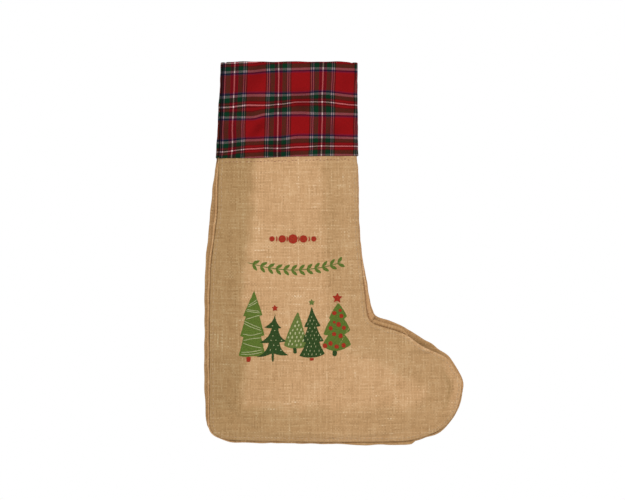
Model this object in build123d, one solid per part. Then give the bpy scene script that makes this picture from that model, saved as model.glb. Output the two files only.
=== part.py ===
"""Hanging stocking: printed burlap boot with a bellows gusset, a tartan cuff and a tape loop.

Frame: +Z up, +X towards the toe, the printed front faces -Y. The origin is on the top edge of the
back cuff, where the hanging loop is sewn on. Depths are counted from the back cuff's outer face
towards the front, so a depth d lies at y = -d. Millimetres.
"""

import os

from build123d import *

os.makedirs("parts", exist_ok=True)

# Cloth thicknesses
BURLAP = 1.2
TARTAN = 0.8
TAPE = 1.2
INK = 0.3
THREAD = 0.5

# Depths of the layers, from the back cuff's outer face towards the front
MOUTH_DEPTH = 18.0  # between the two burlap panels
BODY_GAP = 0.3  # between a panel and the gusset sewn to it
BACK_OUT = TARTAN
BACK_IN = BACK_OUT + BURLAP
FRONT_IN = BACK_IN + MOUTH_DEPTH
FRONT_OUT = FRONT_IN + BURLAP
CUFF_FRONT_OUT = FRONT_OUT + TARTAN
FLUSH_DROP = 121.0  # below this the back panel comes out flush with the back cuff
FLUSH_LAP = 4.0

# Gusset: each half of the bellows folds this far in from the seam
FOLD_IN = 39.0

# Cuff
CUFF_TOP_LEFT = -22.3
CUFF_TOP_RIGHT = 139.8
CUFF_LOW_LEFT = -25.9
CUFF_LOW_RIGHT = 141.0
CUFF_DROP_LEFT = -114.0
CUFF_DROP_RIGHT = -110.5
FACING_DROP = 40.0  # how far the cuff is turned down inside the mouth
FACING_CLEAR = 3.0  # between the facing's sides and the folded gusset

# Hanging loop: a flat tape with a mitred fold, hanging down behind the cuff
LOOP_OUT_WIDTH = 34.0
TAPE_WIDTH = 10.0
LOOP_LENGTH = 78.0
LOOP_START = 0.3  # the free tape starts this far below the hinge line
LOOP_BACK = 2.0  # depth behind the cuff at which the free tape hangs
TAPE_END = 10.0  # length of each sewn tape end

# Stitches
SEAM_INSET = 3.5  # from the cloth's edge to the seam
SEAM_STITCH = 4.5
SEAM_PITCH = 8.0
CUFF_STITCH = 3.0
CUFF_PITCH = 6.2
CUFF_STITCH_DROP = 118.0
CUFF_STITCH_LEFT = -13.0
CUFF_STITCH_RIGHT = 123.5

TOP_EXTRA = 60.0  # outlines run this far past the top before they are cut square
SPLIT_X = 60.0  # the two gusset strips part here, in the open top of the leg,
SPLIT_Z = -385.0  # and at the tip of the toe

# Corners of the back panel's outline, seen from the front: x, z, radius
BACK_CORNERS = [
    (-20.3, TOP_EXTRA, 0.0),
    (-26.0, -108.0, 400.0),
    (-39.8, -250.0, 300.0),
    (-40.2, -380.0, 300.0),
    (-37.8, -432.5, 12.0),
    (-12.0, -448.4, 50.0),
    (100.0, -450.4, 400.0),
    (205.0, -449.0, 80.0),
    (243.0, -434.5, 40.0),
    (260.0, -410.0, 50.0),
    (267.2, -377.0, 22.0),
    (250.5, -345.5, 25.0),
    (180.0, -304.5, 60.0),
    (158.0, -300.0, 15.0),
    (143.0, -212.0, 300.0),
    (136.5, TOP_EXTRA, 0.0),
]

# The front panel is a little smaller, most of all along the heel side and the instep
FRONT_CORNERS = [
    (-19.5, TOP_EXTRA, 0.0),
    (-24.0, -180.0, 150.0),
    (-32.0, -240.0, 150.0),
    (-33.5, -300.0, 200.0),
    (-33.2, -437.0, 14.0),
    (-12.0, -445.4, 40.0),
    (100.0, -447.6, 400.0),
    (204.0, -446.4, 80.0),
    (241.5, -432.5, 40.0),
    (258.3, -410.0, 50.0),
    (265.0, -377.5, 22.0),
    (247.5, -348.5, 20.0),
    (215.0, -334.0, 30.0),
    (197.0, -320.0, 40.0),
    (152.5, -306.5, 14.0),
    (142.3, -212.0, 300.0),
    (135.5, TOP_EXTRA, 0.0),
]

# Print on the front panel. Trees: x of the trunk, z of the tip, then tiers as (z of the hem, half width)
TREE_A = (18.0, -270.0, [(-300.0, 11.5), (-323.0, 13.5), (-346.0, 14.5)])
TREE_B = (43.0, -296.0, [(-313.5, 9.0), (-330.5, 15.5), (-347.0, 18.5)])
TREE_C = (68.0, -294.0, [(-337.0, 12.5)])
TREE_D = (86.5, -288.5, [(-312.0, 9.5), (-328.5, 13.0), (-347.0, 15.0)])
TREE_E = (116.0, -284.0, [(-303.0, 10.0), (-321.0, 15.5), (-340.0, 17.0)])
HEM_A, HEM_B, HEM_C, HEM_D, HEM_E = (spec[2][-1][0] for spec in (TREE_A, TREE_B, TREE_C, TREE_D, TREE_E))
TREE_OVERLAP = 7.0  # each lower tier starts this far above the hem of the tier over it
TRUNK_A = (16.0, -353.0, 3.0)
TRUNK_B = (41.5, -353.0, 1.4)
TRUNK_C = (68.0, -343.5, 2.6)
TRUNK_D = (86.5, -352.0, 2.2)
TRUNK_E = (116.0, -346.0, 3.0)
STARS_RED = [(43.0, -290.0, 4.2), (116.0, -277.5, 6.2)]
STAR_GREEN = (86.5, -283.0, 4.0)
BALLS_E = [
    (116.0, -292.0), (112.5, -300.0), (120.0, -300.5), (115.5, -309.0), (107.5, -317.0),
    (123.5, -316.0), (116.5, -319.0), (112.0, -327.0), (121.0, -328.0), (104.5, -336.5),
    (113.0, -337.0), (121.0, -337.5), (129.0, -336.5),
]
BALL_RADIUS = 1.6
DOTS_C = [(67.0, -303.0), (69.5, -311.0), (65.0, -318.0), (71.5, -321.5), (63.0, -328.0), (69.0, -331.5)]
DOTS_B = [(43.0, -306.0), (39.5, -324.0), (47.0, -325.0), (35.0, -342.0), (43.5, -340.0), (51.5, -342.5)]
DOTS_D = [(86.5, -303.0), (82.0, -322.0), (90.5, -321.0), (78.5, -341.0), (86.5, -338.0), (94.5, -341.5)]
DOT_RADIUS = 1.1
GARLANDS_A = [(-291.0, 6.0), (-314.0, 7.5), (-337.0, 9.0)]
GARLAND_WIDTH = 1.6

# A spray of berries over a leafy garland, above the trees
BERRY_Z = -208.5
BERRY_XS = [40.0, 52.0, 64.5, 77.0, 89.0]
BERRY_RADII = [3.4, 4.6, 6.0, 4.6, 3.4]
GARLAND_LEFT, GARLAND_RIGHT = 12.0, 120.0
GARLAND_Z = -236.0
GARLAND_SAG = 9.0
LEAF_PAIRS = 9
LEAF = (11.0, 4.4)  # length and width


def upright(face, start, end):
    """Solid between two depths, from a face drawn in x and z."""
    return extrude(Plane.XZ.offset(start) * face, amount=end - start)


def box(low_x, high_x, low_z, high_z):
    """Rectangle drawn in x and z."""
    centre = Location(((low_x + high_x) / 2, (low_z + high_z) / 2))
    return centre * Rectangle(high_x - low_x, high_z - low_z)


def outline(corners):
    """Boot outline, running past the top edge."""
    path = FilletPolyline(*[(x, z) for x, z, _ in corners], radius=[r for *_, r in corners], close=True)
    return make_face(path)


def below(face, top, bottom=-600.0):
    """The part of a face between two heights."""
    return face & box(-200, 400, bottom, top)


def save(name, shape):
    shape.label = name
    export_step(shape, f"parts/{name}.step")


def group(shapes):
    return Compound(children=[solid for shape in shapes for solid in shape.solids()])


BACK = outline(BACK_CORNERS)
FRONT = outline(FRONT_CORNERS)
CUFF = make_face(
    Polyline(
        (CUFF_TOP_LEFT, 0),
        (CUFF_TOP_RIGHT, 0),
        (CUFF_LOW_RIGHT, CUFF_DROP_RIGHT),
        (CUFF_LOW_LEFT, CUFF_DROP_LEFT),
        close=True,
    )
)
FOLD = offset(FRONT, amount=-FOLD_IN, kind=Kind.INTERSECTION)  # inner edge of the bellows


# ---- Burlap body ----


def front_panel():
    save("front_panel", upright(below(FRONT, -TARTAN), FRONT_IN, FRONT_OUT))


def back_panel():
    """Steps in by the cuff's thickness where the cuff covers it, and lies flat on a wall below that."""
    covered = upright(below(BACK, -TARTAN, -FLUSH_DROP - FLUSH_LAP), BACK_OUT, BACK_IN)
    flush = upright(below(BACK, -FLUSH_DROP), 0, BURLAP)
    save("back_panel", covered + flush)


def gusset_strip(side, top, front_gap, thickness, inner):
    """Bellows strip: two flat halves behind the panels, joined by the fold at their inner edge."""
    near = FRONT_IN - front_gap
    far = BACK_IN + front_gap
    hole = offset(inner, amount=thickness, kind=Kind.INTERSECTION)
    front_half = below(FRONT - inner, top) & side
    back_half = below(BACK - inner, top) & side
    fold = below(hole - inner, top) & side
    return (
        upright(front_half, near - thickness, near)
        + upright(back_half, far, far + thickness)
        + upright(fold, far, near)
    )


INSTEP_SIDE = box(SPLIT_X, 400, SPLIT_Z, TOP_EXTRA * 2)
HEEL_SIDE = box(-200, 400, -600, TOP_EXTRA * 2) - INSTEP_SIDE


def body_gussets():
    save("heel_gusset", gusset_strip(HEEL_SIDE, -TARTAN, BODY_GAP, BURLAP, FOLD))
    save("instep_gusset", gusset_strip(INSTEP_SIDE, -TARTAN, BODY_GAP, BURLAP, FOLD))


# ---- Tartan cuff ----


def cuff(outer, panel_out, panel_in, inner):
    """Cuff cloth turned over the panel's top edge: outer leg, top and a short facing inside."""
    left = CUFF_TOP_LEFT + FOLD_IN + FACING_CLEAR
    right = CUFF_TOP_RIGHT - FOLD_IN - FACING_CLEAR
    outside = upright(CUFF, *sorted((outer, panel_out)))
    top = upright(box(CUFF_TOP_LEFT + 1, CUFF_TOP_RIGHT - 1, -TARTAN, 0), *sorted((outer, panel_in)))
    facing = upright(box(left, right, -FACING_DROP, 0), *sorted((panel_in, inner)))
    return outside + top + facing


def cuff_gussets():
    """Tartan strips over the outside of the burlap gusset, inside its open fold."""
    gap = BODY_GAP + BURLAP
    inner = offset(FOLD, amount=BURLAP, kind=Kind.INTERSECTION)
    drop = max(CUFF_DROP_LEFT, CUFF_DROP_RIGHT)
    for name, side in (("cuff_gusset_heel", HEEL_SIDE), ("cuff_gusset_shin", INSTEP_SIDE)):
        upper = side & box(-200, 400, drop, TOP_EXTRA)
        save(name, gusset_strip(upper, -TARTAN, gap, TARTAN, inner))


# ---- Hanging loop ----


def loop_outline():
    """Free part of the tape: two legs and a mitred fold, hanging down."""
    half = LOOP_OUT_WIDTH / 2
    low = -LOOP_LENGTH
    outer = make_face(
        Polyline(
            (-half, -LOOP_START),
            (half, -LOOP_START),
            (half, low + half),
            (0, low),
            (-half, low + half),
            close=True,
        )
    )
    eye = half - TAPE_WIDTH
    inside = make_face(
        Polyline(
            (-eye, 0),
            (eye, 0),
            (eye, low + half + TAPE_WIDTH * 0.4),
            (0, low + TAPE_WIDTH * 1.4),
            (-eye, low + half + TAPE_WIDTH * 0.4),
            close=True,
        )
    )
    return outer - inside


def loop_legs():
    centre = LOOP_OUT_WIDTH / 2 - TAPE_WIDTH / 2
    return (-centre, centre)


def hanging_loop():
    save("hang_loop", upright(loop_outline(), -LOOP_BACK - TAPE, -LOOP_BACK))
    ends = [box(x - TAPE_WIDTH / 2, x + TAPE_WIDTH / 2, -TAPE_END, -1) for x in loop_legs()]
    save("loop_ends", group(upright(end, -TAPE, 0) for end in ends))
    bars = [box(x - 4, x + 4, z - 0.7, z + 0.7) for x in loop_legs() for z in (-3.5, -7.5)]
    save("loop_bartacks", group(upright(bar, -TAPE - 0.4, -TAPE) for bar in bars))


# ---- Stitches ----


def stitches(face, start, end, low, high):
    """Threads between two layers, along a face's edge, a seam's width in, between two heights."""
    wire = offset(face, amount=-SEAM_INSET, kind=Kind.INTERSECTION).faces()[0].outer_wire()
    count = int(wire.length / SEAM_PITCH)
    threads = []
    for step in range(count):
        place = (step + 0.5) / count
        point = wire.position_at(place)
        if not low < point.Y < high:
            continue
        heading = wire.tangent_at(place)
        angle = Vector(1, 0, 0).get_signed_angle(heading, Vector(0, 0, 1))
        thread = Location((point.X, point.Y), angle) * Rectangle(SEAM_STITCH, THREAD)
        threads.append(upright(thread, start, end))
    return group(threads)


def seam_threads():
    bottom, step, top = -600.0, -FLUSH_DROP - FLUSH_LAP, -5.0
    front = stitches(FRONT, FRONT_IN - BODY_GAP, FRONT_IN, bottom, top)
    save("front_seam_thread", group([front]))
    gusset_side = BACK_IN + BODY_GAP
    covered = stitches(BACK, BACK_IN, gusset_side, step + SEAM_STITCH, top)
    flush = stitches(BACK, BURLAP, gusset_side, bottom, step - SEAM_STITCH)
    save("back_seam_thread", group([covered, flush]))


def cuff_threads():
    count = int((CUFF_STITCH_RIGHT - CUFF_STITCH_LEFT) / CUFF_PITCH)
    row = []
    for step in range(count + 1):
        x = CUFF_STITCH_LEFT + step * CUFF_PITCH
        row.append(box(x, x + CUFF_STITCH, -CUFF_STITCH_DROP - THREAD, -CUFF_STITCH_DROP))
    for name, start in (("cuff_thread_front", FRONT_OUT), ("cuff_thread_back", BACK_OUT - THREAD)):
        save(name, group(upright(thread, start, start + THREAD) for thread in row))


def toe_thread():
    """Bar stitches that join the two gusset strips at the toe, inside their open fold."""
    depth = FRONT_IN - BODY_GAP - BURLAP
    tacks = [box(x, x + THREAD, SPLIT_Z - 2.5, SPLIT_Z + 2.5) for x in range(232, 258, 5)]
    save("toe_join_thread", group(upright(tack, depth - THREAD, depth) for tack in tacks))


# ---- Print ----


def tree(spec):
    """Fir tree of overlapping tiers."""
    x, tip, tiers = spec
    shape, apex = None, tip
    for hem, half in tiers:
        tier = make_face(Polyline((x, apex), (x + half, hem), (x, hem + 1.2), (x - half, hem), close=True))
        shape = tier if shape is None else shape + tier
        apex = hem + TREE_OVERLAP
    return shape


def trunk(x, foot, half, top):
    return box(x - half, x + half, foot, top)


def star(x, z, radius):
    points = [Vector(0, radius if i % 2 == 0 else radius * 0.42).rotate(Axis.Z, 36 * i) for i in range(10)]
    return Location((x, z)) * make_face(Polyline(*points, close=True))


def dot(x, z, radius):
    return Location((x, z)) * Circle(radius)


def leaf(x, z, angle):
    length, width = LEAF
    rim = ThreePointArc((0, 0), (length / 2, width / 2), (length, 0)) + ThreePointArc(
        (length, 0), (length / 2, -width / 2), (0, 0)
    )
    return Location((x, z), angle) * make_face(rim)


def leafy_garland():
    """Pairs of leaves along a shallow hanging curve."""
    leaves = []
    middle = (GARLAND_LEFT + GARLAND_RIGHT) / 2
    half = (GARLAND_RIGHT - GARLAND_LEFT) / 2
    for step in range(LEAF_PAIRS):
        x = GARLAND_LEFT + (GARLAND_RIGHT - GARLAND_LEFT - LEAF[0]) * step / (LEAF_PAIRS - 1)
        reach = (x - middle) / half
        z = GARLAND_Z - GARLAND_SAG * (1 - reach**2)
        leaves += [leaf(x, z + 0.9, 38), leaf(x, z - 0.9, -38)]
    return leaves


def ink(faces, layer=0):
    """Ink printed on the panel, or on the ink under it."""
    start = FRONT_OUT + layer * INK
    return group(upright(face, start, start + INK) for face in faces)


def screen_print():
    tree_a, tree_d = tree(TREE_A), tree(TREE_D)
    tree_b = tree(TREE_B) - tree_a
    tree_c = tree(TREE_C) - tree_b - tree_d
    tree_e = tree(TREE_E) - tree_d
    save("print_mid_green", ink([tree_a, tree_e] + leafy_garland()))
    dark_trunks = [
        trunk(*TRUNK_B, HEM_B) - tree_b,
        trunk(*TRUNK_C, HEM_C) - tree_c,
        trunk(*TRUNK_E, HEM_E) - tree_e,
    ]
    save("print_dark_green", ink([tree_b, tree_d] + dark_trunks))
    save("print_light_green", ink([tree_c, star(*STAR_GREEN) - tree_d]))
    berries = [dot(x, BERRY_Z, r) for x, r in zip(BERRY_XS, BERRY_RADII)]
    stars = [star(*spec) - tree_b - tree_e for spec in STARS_RED]
    red_trunks = [trunk(*TRUNK_A, HEM_A) - tree_a, trunk(*TRUNK_D, HEM_D) - tree_d]
    balls = [dot(x, z, BALL_RADIUS) for x, z in BALLS_E]
    save("print_red", group([ink(berries + stars + red_trunks), ink(balls, layer=1)]))
    garlands = [box(TREE_A[0] - half, TREE_A[0] + half, z, z + GARLAND_WIDTH) for z, half in GARLANDS_A]
    specks = [dot(x, z, DOT_RADIUS) for x, z in DOTS_B + DOTS_C + DOTS_D]
    save("print_cream", ink(garlands + specks, layer=1))


def main():
    front_panel()
    back_panel()
    body_gussets()
    save("cuff_back", cuff(0.0, BACK_OUT, BACK_IN, BACK_IN + TARTAN))
    save("cuff_front", cuff(CUFF_FRONT_OUT, FRONT_OUT, FRONT_IN, FRONT_IN - TARTAN))
    cuff_gussets()
    hanging_loop()
    seam_threads()
    cuff_threads()
    toe_thread()
    screen_print()


main()
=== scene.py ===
"""Looks of the hanging stocking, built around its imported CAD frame.

Lengths in the making are millimetres; meshes are turned to metres when they become objects. A depth is
counted from the back cuff's outer face towards the printed front, so a depth d lies at y = -d.
"""

import math

import bpy
import numpy as np
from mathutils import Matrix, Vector
from mathutils.bvhtree import BVHTree
from mathutils.geometry import delaunay_2d_cdt


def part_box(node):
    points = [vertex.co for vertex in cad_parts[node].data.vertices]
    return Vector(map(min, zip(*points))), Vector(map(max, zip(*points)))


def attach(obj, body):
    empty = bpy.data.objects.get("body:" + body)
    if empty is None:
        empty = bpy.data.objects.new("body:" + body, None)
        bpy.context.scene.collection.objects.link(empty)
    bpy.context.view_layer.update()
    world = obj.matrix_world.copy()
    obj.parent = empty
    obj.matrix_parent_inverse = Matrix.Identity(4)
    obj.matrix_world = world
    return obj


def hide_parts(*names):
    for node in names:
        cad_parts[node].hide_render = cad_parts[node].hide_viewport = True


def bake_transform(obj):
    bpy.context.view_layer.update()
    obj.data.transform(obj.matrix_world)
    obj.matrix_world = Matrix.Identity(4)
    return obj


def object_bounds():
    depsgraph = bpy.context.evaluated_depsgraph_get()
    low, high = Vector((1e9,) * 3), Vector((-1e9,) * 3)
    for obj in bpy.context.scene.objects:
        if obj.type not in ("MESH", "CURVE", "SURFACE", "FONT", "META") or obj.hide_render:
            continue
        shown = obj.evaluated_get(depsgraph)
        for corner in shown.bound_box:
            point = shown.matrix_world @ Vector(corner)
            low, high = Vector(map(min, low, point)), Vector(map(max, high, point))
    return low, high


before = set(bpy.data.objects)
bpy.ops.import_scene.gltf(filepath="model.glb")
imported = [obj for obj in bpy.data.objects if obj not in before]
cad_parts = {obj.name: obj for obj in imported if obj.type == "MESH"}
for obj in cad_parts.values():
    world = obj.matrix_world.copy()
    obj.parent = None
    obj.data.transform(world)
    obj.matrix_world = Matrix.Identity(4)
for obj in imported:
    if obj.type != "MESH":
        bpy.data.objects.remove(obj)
cad_low, cad_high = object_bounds()
MM = 0.001

# -------------------- frame sizes


def node_box(name):
    """Lowest and highest corner of a CAD node, in millimetres."""
    low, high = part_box(name)
    return np.array(low) / MM, np.array(high) / MM


PANEL_LOW, PANEL_HIGH = node_box("front_panel")
LOOP_LOW, LOOP_HIGH = node_box("hang_loop")
FRONT_OUT, FRONT_IN = -PANEL_LOW[1], -PANEL_HIGH[1]
FRONT_MID = (FRONT_OUT + FRONT_IN) / 2
CUFF_OUT = -node_box("cuff_front")[0][1]
FOLD_WIDTH = np.subtract(*node_box("cuff_gusset_heel")[::-1])[0] - 2.0
TOE_X, TOE_TOP, TOE_LOW = 236.0, -346.0, -418.0  # where the toe's rounded end begins, and its heights


# -------------------- helpers


def smooth(t):
    """0 below 0, 1 above 1, a soft step between."""
    t = np.clip(t, 0, 1)
    return t * t * (3 - 2 * t)


def hump(values, middle, width):
    """1 at the middle, falling off on both sides as a bell."""
    return np.exp(-(((values - middle) / width) ** 2))


def stretch(values, low, high, soft):
    """1 between low and high, falling to 0 over soft outside."""
    return smooth((values - low + soft) / soft) * smooth((high - values + soft) / soft)


def unit(vectors):
    """Vectors brought to length 1."""
    return vectors / np.maximum(np.linalg.norm(vectors, axis=-1), 1e-9)[..., None]


def waves(x, z, seed, shortest, longest, count=14):
    """Smooth seeded relief over a plane, about -1 to 1, from waves of the lengths given."""
    draw = np.random.default_rng(seed)
    total = np.zeros(np.broadcast(x, z).shape)
    for _ in range(count):
        length = draw.uniform(shortest, longest)
        heading, phase = draw.uniform(0, 2 * math.pi, 2)
        along = x * math.cos(heading) + z * math.sin(heading)
        total += np.sin(along * 2 * math.pi / length + phase)
    return total / math.sqrt(count)


def gauss(values, sigma):
    """Values smoothed along a row, with the ends held."""
    reach = max(1, int(sigma * 3))
    weights = np.exp(-0.5 * (np.arange(-reach, reach + 1) / sigma) ** 2)
    weights /= weights.sum()
    padded = np.concatenate([np.full(reach, values[0]), values, np.full(reach, values[-1])])
    return np.convolve(padded, weights, "valid")


def arc_lengths(path):
    """Length along a path from its start to each point."""
    steps = np.linalg.norm(np.diff(path, axis=0), axis=1)
    return np.concatenate([[0], np.cumsum(steps)])


def girth(first, second):
    """The same down each column of a grid, from two of its coordinates."""
    steps = np.hypot(np.diff(first, axis=0), np.diff(second, axis=0))
    return np.concatenate([np.zeros((1, first.shape[1])), np.cumsum(steps, 0)])


def resample(path, step):
    """The same path with even steps."""
    along = arc_lengths(path)
    places = np.linspace(0, along[-1], max(2, round(along[-1] / step) + 1))
    return np.column_stack([np.interp(places, along, path[:, i]) for i in range(path.shape[1])])


def distance_to(points, path):
    """Distance of each point from a path, in the plane."""
    start, leg = path[:-1], np.diff(path, axis=0)
    nearest = np.full(len(points), 1e9)
    for a, d in zip(start, leg):
        share = np.clip(((points - a) @ d) / max(d @ d, 1e-9), 0, 1)
        gap = points - a - share[:, None] * d
        nearest = np.minimum(nearest, np.einsum("ij,ij->i", gap, gap))
    return np.sqrt(nearest)


def catmull(points, count):
    """Smooth curve through control points, with points as (number, ...) arrays."""
    points = np.asarray(points, float)
    padded = np.concatenate([2 * points[:1] - points[1:2], points, 2 * points[-1:] - points[-2:-1]])
    places = np.linspace(0, len(points) - 1, count)
    span = np.minimum(places.astype(int), len(points) - 2)
    t = (places - span).reshape((-1,) + (1,) * (points.ndim - 1))
    p0, p1, p2, p3 = (padded[span + i] for i in range(4))
    return 0.5 * (
        2 * p1
        + (p2 - p0) * t
        + (2 * p0 - 5 * p1 + 4 * p2 - p3) * t**2
        + (3 * p1 - p0 - 3 * p2 + p3) * t**3
    )


def make_object(name, points, faces, cloth=None, tone=None):
    """Mesh object from points in millimetres, with each point's place on the flat cloth and its shade."""
    mesh = bpy.data.meshes.new(name)
    places = np.asarray(points).reshape(-1, 3) * MM
    mesh.from_pydata(places.tolist(), [], [list(map(int, face)) for face in faces])
    mesh.validate()
    layers = (("cloth", "FLOAT_VECTOR", "vector", cloth), ("tone", "FLOAT", "value", tone))
    for key, kind, field, values in layers:
        if values is not None:
            layer = mesh.attributes.new(key, kind, "POINT")
            layer.data.foreach_set(field, np.asarray(values, np.float32).ravel())
    mesh.polygons.foreach_set("use_smooth", [True] * len(mesh.polygons))
    piece = bpy.data.objects.new(name, mesh)
    bpy.context.scene.collection.objects.link(piece)
    return piece


def flat_cloth(x, z):
    """Places on the flat cloth, from two coordinates in its plane."""
    return np.stack([x, z, np.zeros(np.shape(x))], -1)


def places(piece):
    """A piece's points in millimetres."""
    return np.array([v.co for v in piece.data.vertices]) / MM


def grid_faces(rows, columns, flip=False):
    """Faces of a grid of points."""
    index = np.arange(rows * columns).reshape(rows, columns)
    corners = [index[:-1, :-1], index[:-1, 1:], index[1:, 1:], index[1:, :-1]]
    return np.stack(corners[::-1] if flip else corners, -1).reshape(-1, 4)


def ring_faces(rows, sides):
    """Faces round a tube, from one ring of points to the next."""
    ring = [(k, (k + 1) % sides, (k + 1) % sides + sides, k + sides) for k in range(sides)]
    return [tuple(row * sides + corner for corner in face) for row in range(rows - 1) for face in ring]


def end_caps(rows, sides):
    """Faces that close a tube's two ends."""
    return [tuple(range(sides - 1, -1, -1)), tuple((rows - 1) * sides + k for k in range(sides))]


def thicken(piece, thickness):
    """Gives a cloth surface its thickness, half to each side, and closes its edges."""
    solid = piece.modifiers.new("thickness", "SOLIDIFY")
    solid.thickness = thickness * MM
    solid.offset = 0.0
    solid.use_even_offset = False
    solid.use_quality_normals = True
    evaluated = piece.evaluated_get(bpy.context.evaluated_depsgraph_get())
    mesh = bpy.data.meshes.new_from_object(evaluated)
    piece.modifiers.clear()
    piece.data = mesh


# -------------------- outlines


def face_outline(node, facing):
    """Closed outline, in x and z, of a CAD sheet's faces towards +Y (1) or -Y (-1)."""
    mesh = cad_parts[node].data
    seen = {}
    for face in mesh.polygons:
        if face.normal.y * facing < 0.9:
            continue
        corners = [mesh.vertices[i].co / MM for i in face.vertices]
        corners = [(round(c.x, 1), round(c.z, 1)) for c in corners]
        for a, b in zip(corners, corners[1:] + corners[:1]):
            if a != b:
                seen[frozenset((a, b))] = seen.get(frozenset((a, b)), 0) + 1
    links = {}
    for pair, count in seen.items():
        if count == 1:
            a, b = pair
            links.setdefault(a, []).append(b)
            links.setdefault(b, []).append(a)
    top = max(z for _, z in links)
    start = min(p for p in links if p[1] > top - 0.5)
    path, here, before = [start], start, None
    while True:
        ahead = [p for p in links[here] if p != before]
        ahead = min(ahead, key=lambda p: p[1]) if before is None else ahead[0]
        if ahead == start:
            return np.array(path)
        path.append(ahead)
        before, here = here, ahead


EDGE_INSET = 0.5  # the cloth's own thickness at its edge
SEAM_STEP = 2.5  # how far apart the points of a seam line are


def seam_line(node, facing):
    """The sewn edge, from the top at the heel side round the sole and toe to the top at the shin side."""
    path = resample(face_outline(node, facing), SEAM_STEP)
    line = np.column_stack([gauss(axis, 1.5) for axis in path.T])
    return line - outward(line) * EDGE_INSET


def outward(path):
    """Unit normals that point out of the stocking, along a seam line."""
    along = unit(np.gradient(path, axis=0))
    return np.column_stack([along[:, 1], -along[:, 0]])


MOUTH_DRAWN_IN = 2.4  # how far the heel side's top corner has pulled in


def cuff_edges():
    """x of the cuff's sides at the bottom, x of them at the top, and z of its bottom corners."""
    points = np.array([v.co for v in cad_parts["cuff_front"].data.vertices]) / MM
    low = points[points[:, 2] < 0.9 * points[:, 2].min()]
    top = points[points[:, 2] > -1, 0]
    left, right = low[np.argmin(low[:, 0])], low[np.argmax(low[:, 0])]
    return (left[0], right[0]), (top.min() + MOUTH_DRAWN_IN, top.max()), (left[2], right[2])


CUFF_BASE_X, CUFF_TOP_X, CUFF_BASE_Z = cuff_edges()
FRONT_MOUTH, BACK_MOUTH = 2.3, 3.0  # how far each panel's top corner has pulled in on the heel side
PINCH = 0.6  # how far the cuff squeezes the burlap in at each side
COVER_RAMP = 14.0  # over what height below the cuff the burlap starts to yield to it
RIM_DROP = 5.0  # how far below the rim the burlap ends, inside the cuff


def pulled_in(seam, mouth):
    """The seam with its heel side drawn in towards the mouth, and squeezed where the cuff covers it."""
    x, z = seam.T
    heel_side = x < sum(CUFF_TOP_X) / 2
    base_z = np.where(heel_side, *CUFF_BASE_Z)
    inward = mouth * np.clip(1 - z / base_z, 0, 1) * heel_side
    inward = inward + PINCH * smooth((z - base_z) / COVER_RAMP + 1)
    return np.column_stack([x + np.where(heel_side, inward, -inward), z])


def flattened(seam):
    """The back seam, flatter over the top of the toe, where the front panel covers it."""
    x, z = seam.T
    over_toe = 2.4 * hump(z, TOE_TOP - 4, 14) * (x > TOE_X - 11)
    return seam - outward(seam) * over_toe[:, None]


def below_rim(z):
    """Height of burlap whose top ends a little below the cuff's rim."""
    return z - RIM_DROP * smooth((z + 3 * RIM_DROP) / (2.5 * RIM_DROP))


FRONT_SEAM = pulled_in(seam_line("front_panel", -1), FRONT_MOUTH)
BACK_SEAM = flattened(pulled_in(seam_line("back_panel", 1), BACK_MOUTH))
SEAM_NORMAL = outward(FRONT_SEAM)
SEAM_ALONG = arc_lengths(FRONT_SEAM)


def find_ankle():
    """Index on the front seam of the hollow corner between shin and instep."""
    behind, ahead = np.roll(SEAM_NORMAL, 12, axis=0), np.roll(SEAM_NORMAL, -12, axis=0)
    turn = behind[:, 0] * ahead[:, 1] - behind[:, 1] * ahead[:, 0]
    turn[:20] = turn[-20:] = 0
    return int(np.argmin(turn))


ANKLE = find_ankle()
ANKLE_POINT = FRONT_SEAM[ANKLE]
FROM_ANKLE = SEAM_ALONG - SEAM_ALONG[ANKLE]  # negative on the instep, positive up the shin


def back_offset():
    """How far the back seam stands out past the front one, at each place on the front seam."""
    along = resample(BACK_SEAM, 0.6)
    reach = []
    for point, normal in zip(FRONT_SEAM, SEAM_NORMAL):
        gap = along - point
        side = np.abs(gap @ np.array([-normal[1], normal[0]]))
        near = np.where((side < 1.5) & (np.linalg.norm(gap, axis=1) < 25), gap @ normal, np.nan)
        reach.append(np.nanmax(near) if np.isfinite(near).any() else 2.0)
    return gauss(np.clip(reach, 0.5, 12), 3)


def fold_reach():
    """How far in the bellows fold reaches, at each place on the front seam."""
    reach = np.full(len(FRONT_SEAM), FOLD_WIDTH)
    open_ended = np.vstack([FRONT_SEAM[0] + (0, 60), FRONT_SEAM, FRONT_SEAM[-1] + (0, 60)])
    blocked = np.zeros(len(FRONT_SEAM), bool)
    for width in np.arange(3, FOLD_WIDTH, 1.5):
        tip = FRONT_SEAM - SEAM_NORMAL * width
        meets = distance_to(tip, open_ended) < width - 0.7
        reach[meets & ~blocked] = width * 0.9
        blocked |= meets
    return np.minimum(gauss(reach, 5), FOLD_WIDTH)


BACK_REACH = back_offset()
FOLD_REACH = fold_reach()


# -------------------- burlap panels

EDGE_ROLL = 3.4  # width of the rounded edge beside a seam
TOE_ROLL = 10.5  # the same at the toe, where the front has slumped over
EDGE_DROP = 2.6  # how far that edge turns towards the gusset
RINGS = (0.5, 1.2, 2.1, 3.3, 5.0, 7.0)  # how far in from the seam a panel's rings of points lie
PANEL_STEP = 2.6  # how far apart its other points are
RING_GAP = 1.4  # how clear these keep of the rings and the rim
BURLAP_THICK, GUSSET_THICK = 1.1, 0.9


def edge_roll(distance, width=EDGE_ROLL, drop=EDGE_DROP):
    """How far a sheet's edge has turned away, at a distance from the seam."""
    t = 1 - np.clip(distance / width, 0, 1)
    return drop * (1 - np.sqrt(np.clip(1 - t * t, 0, 1)))


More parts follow.
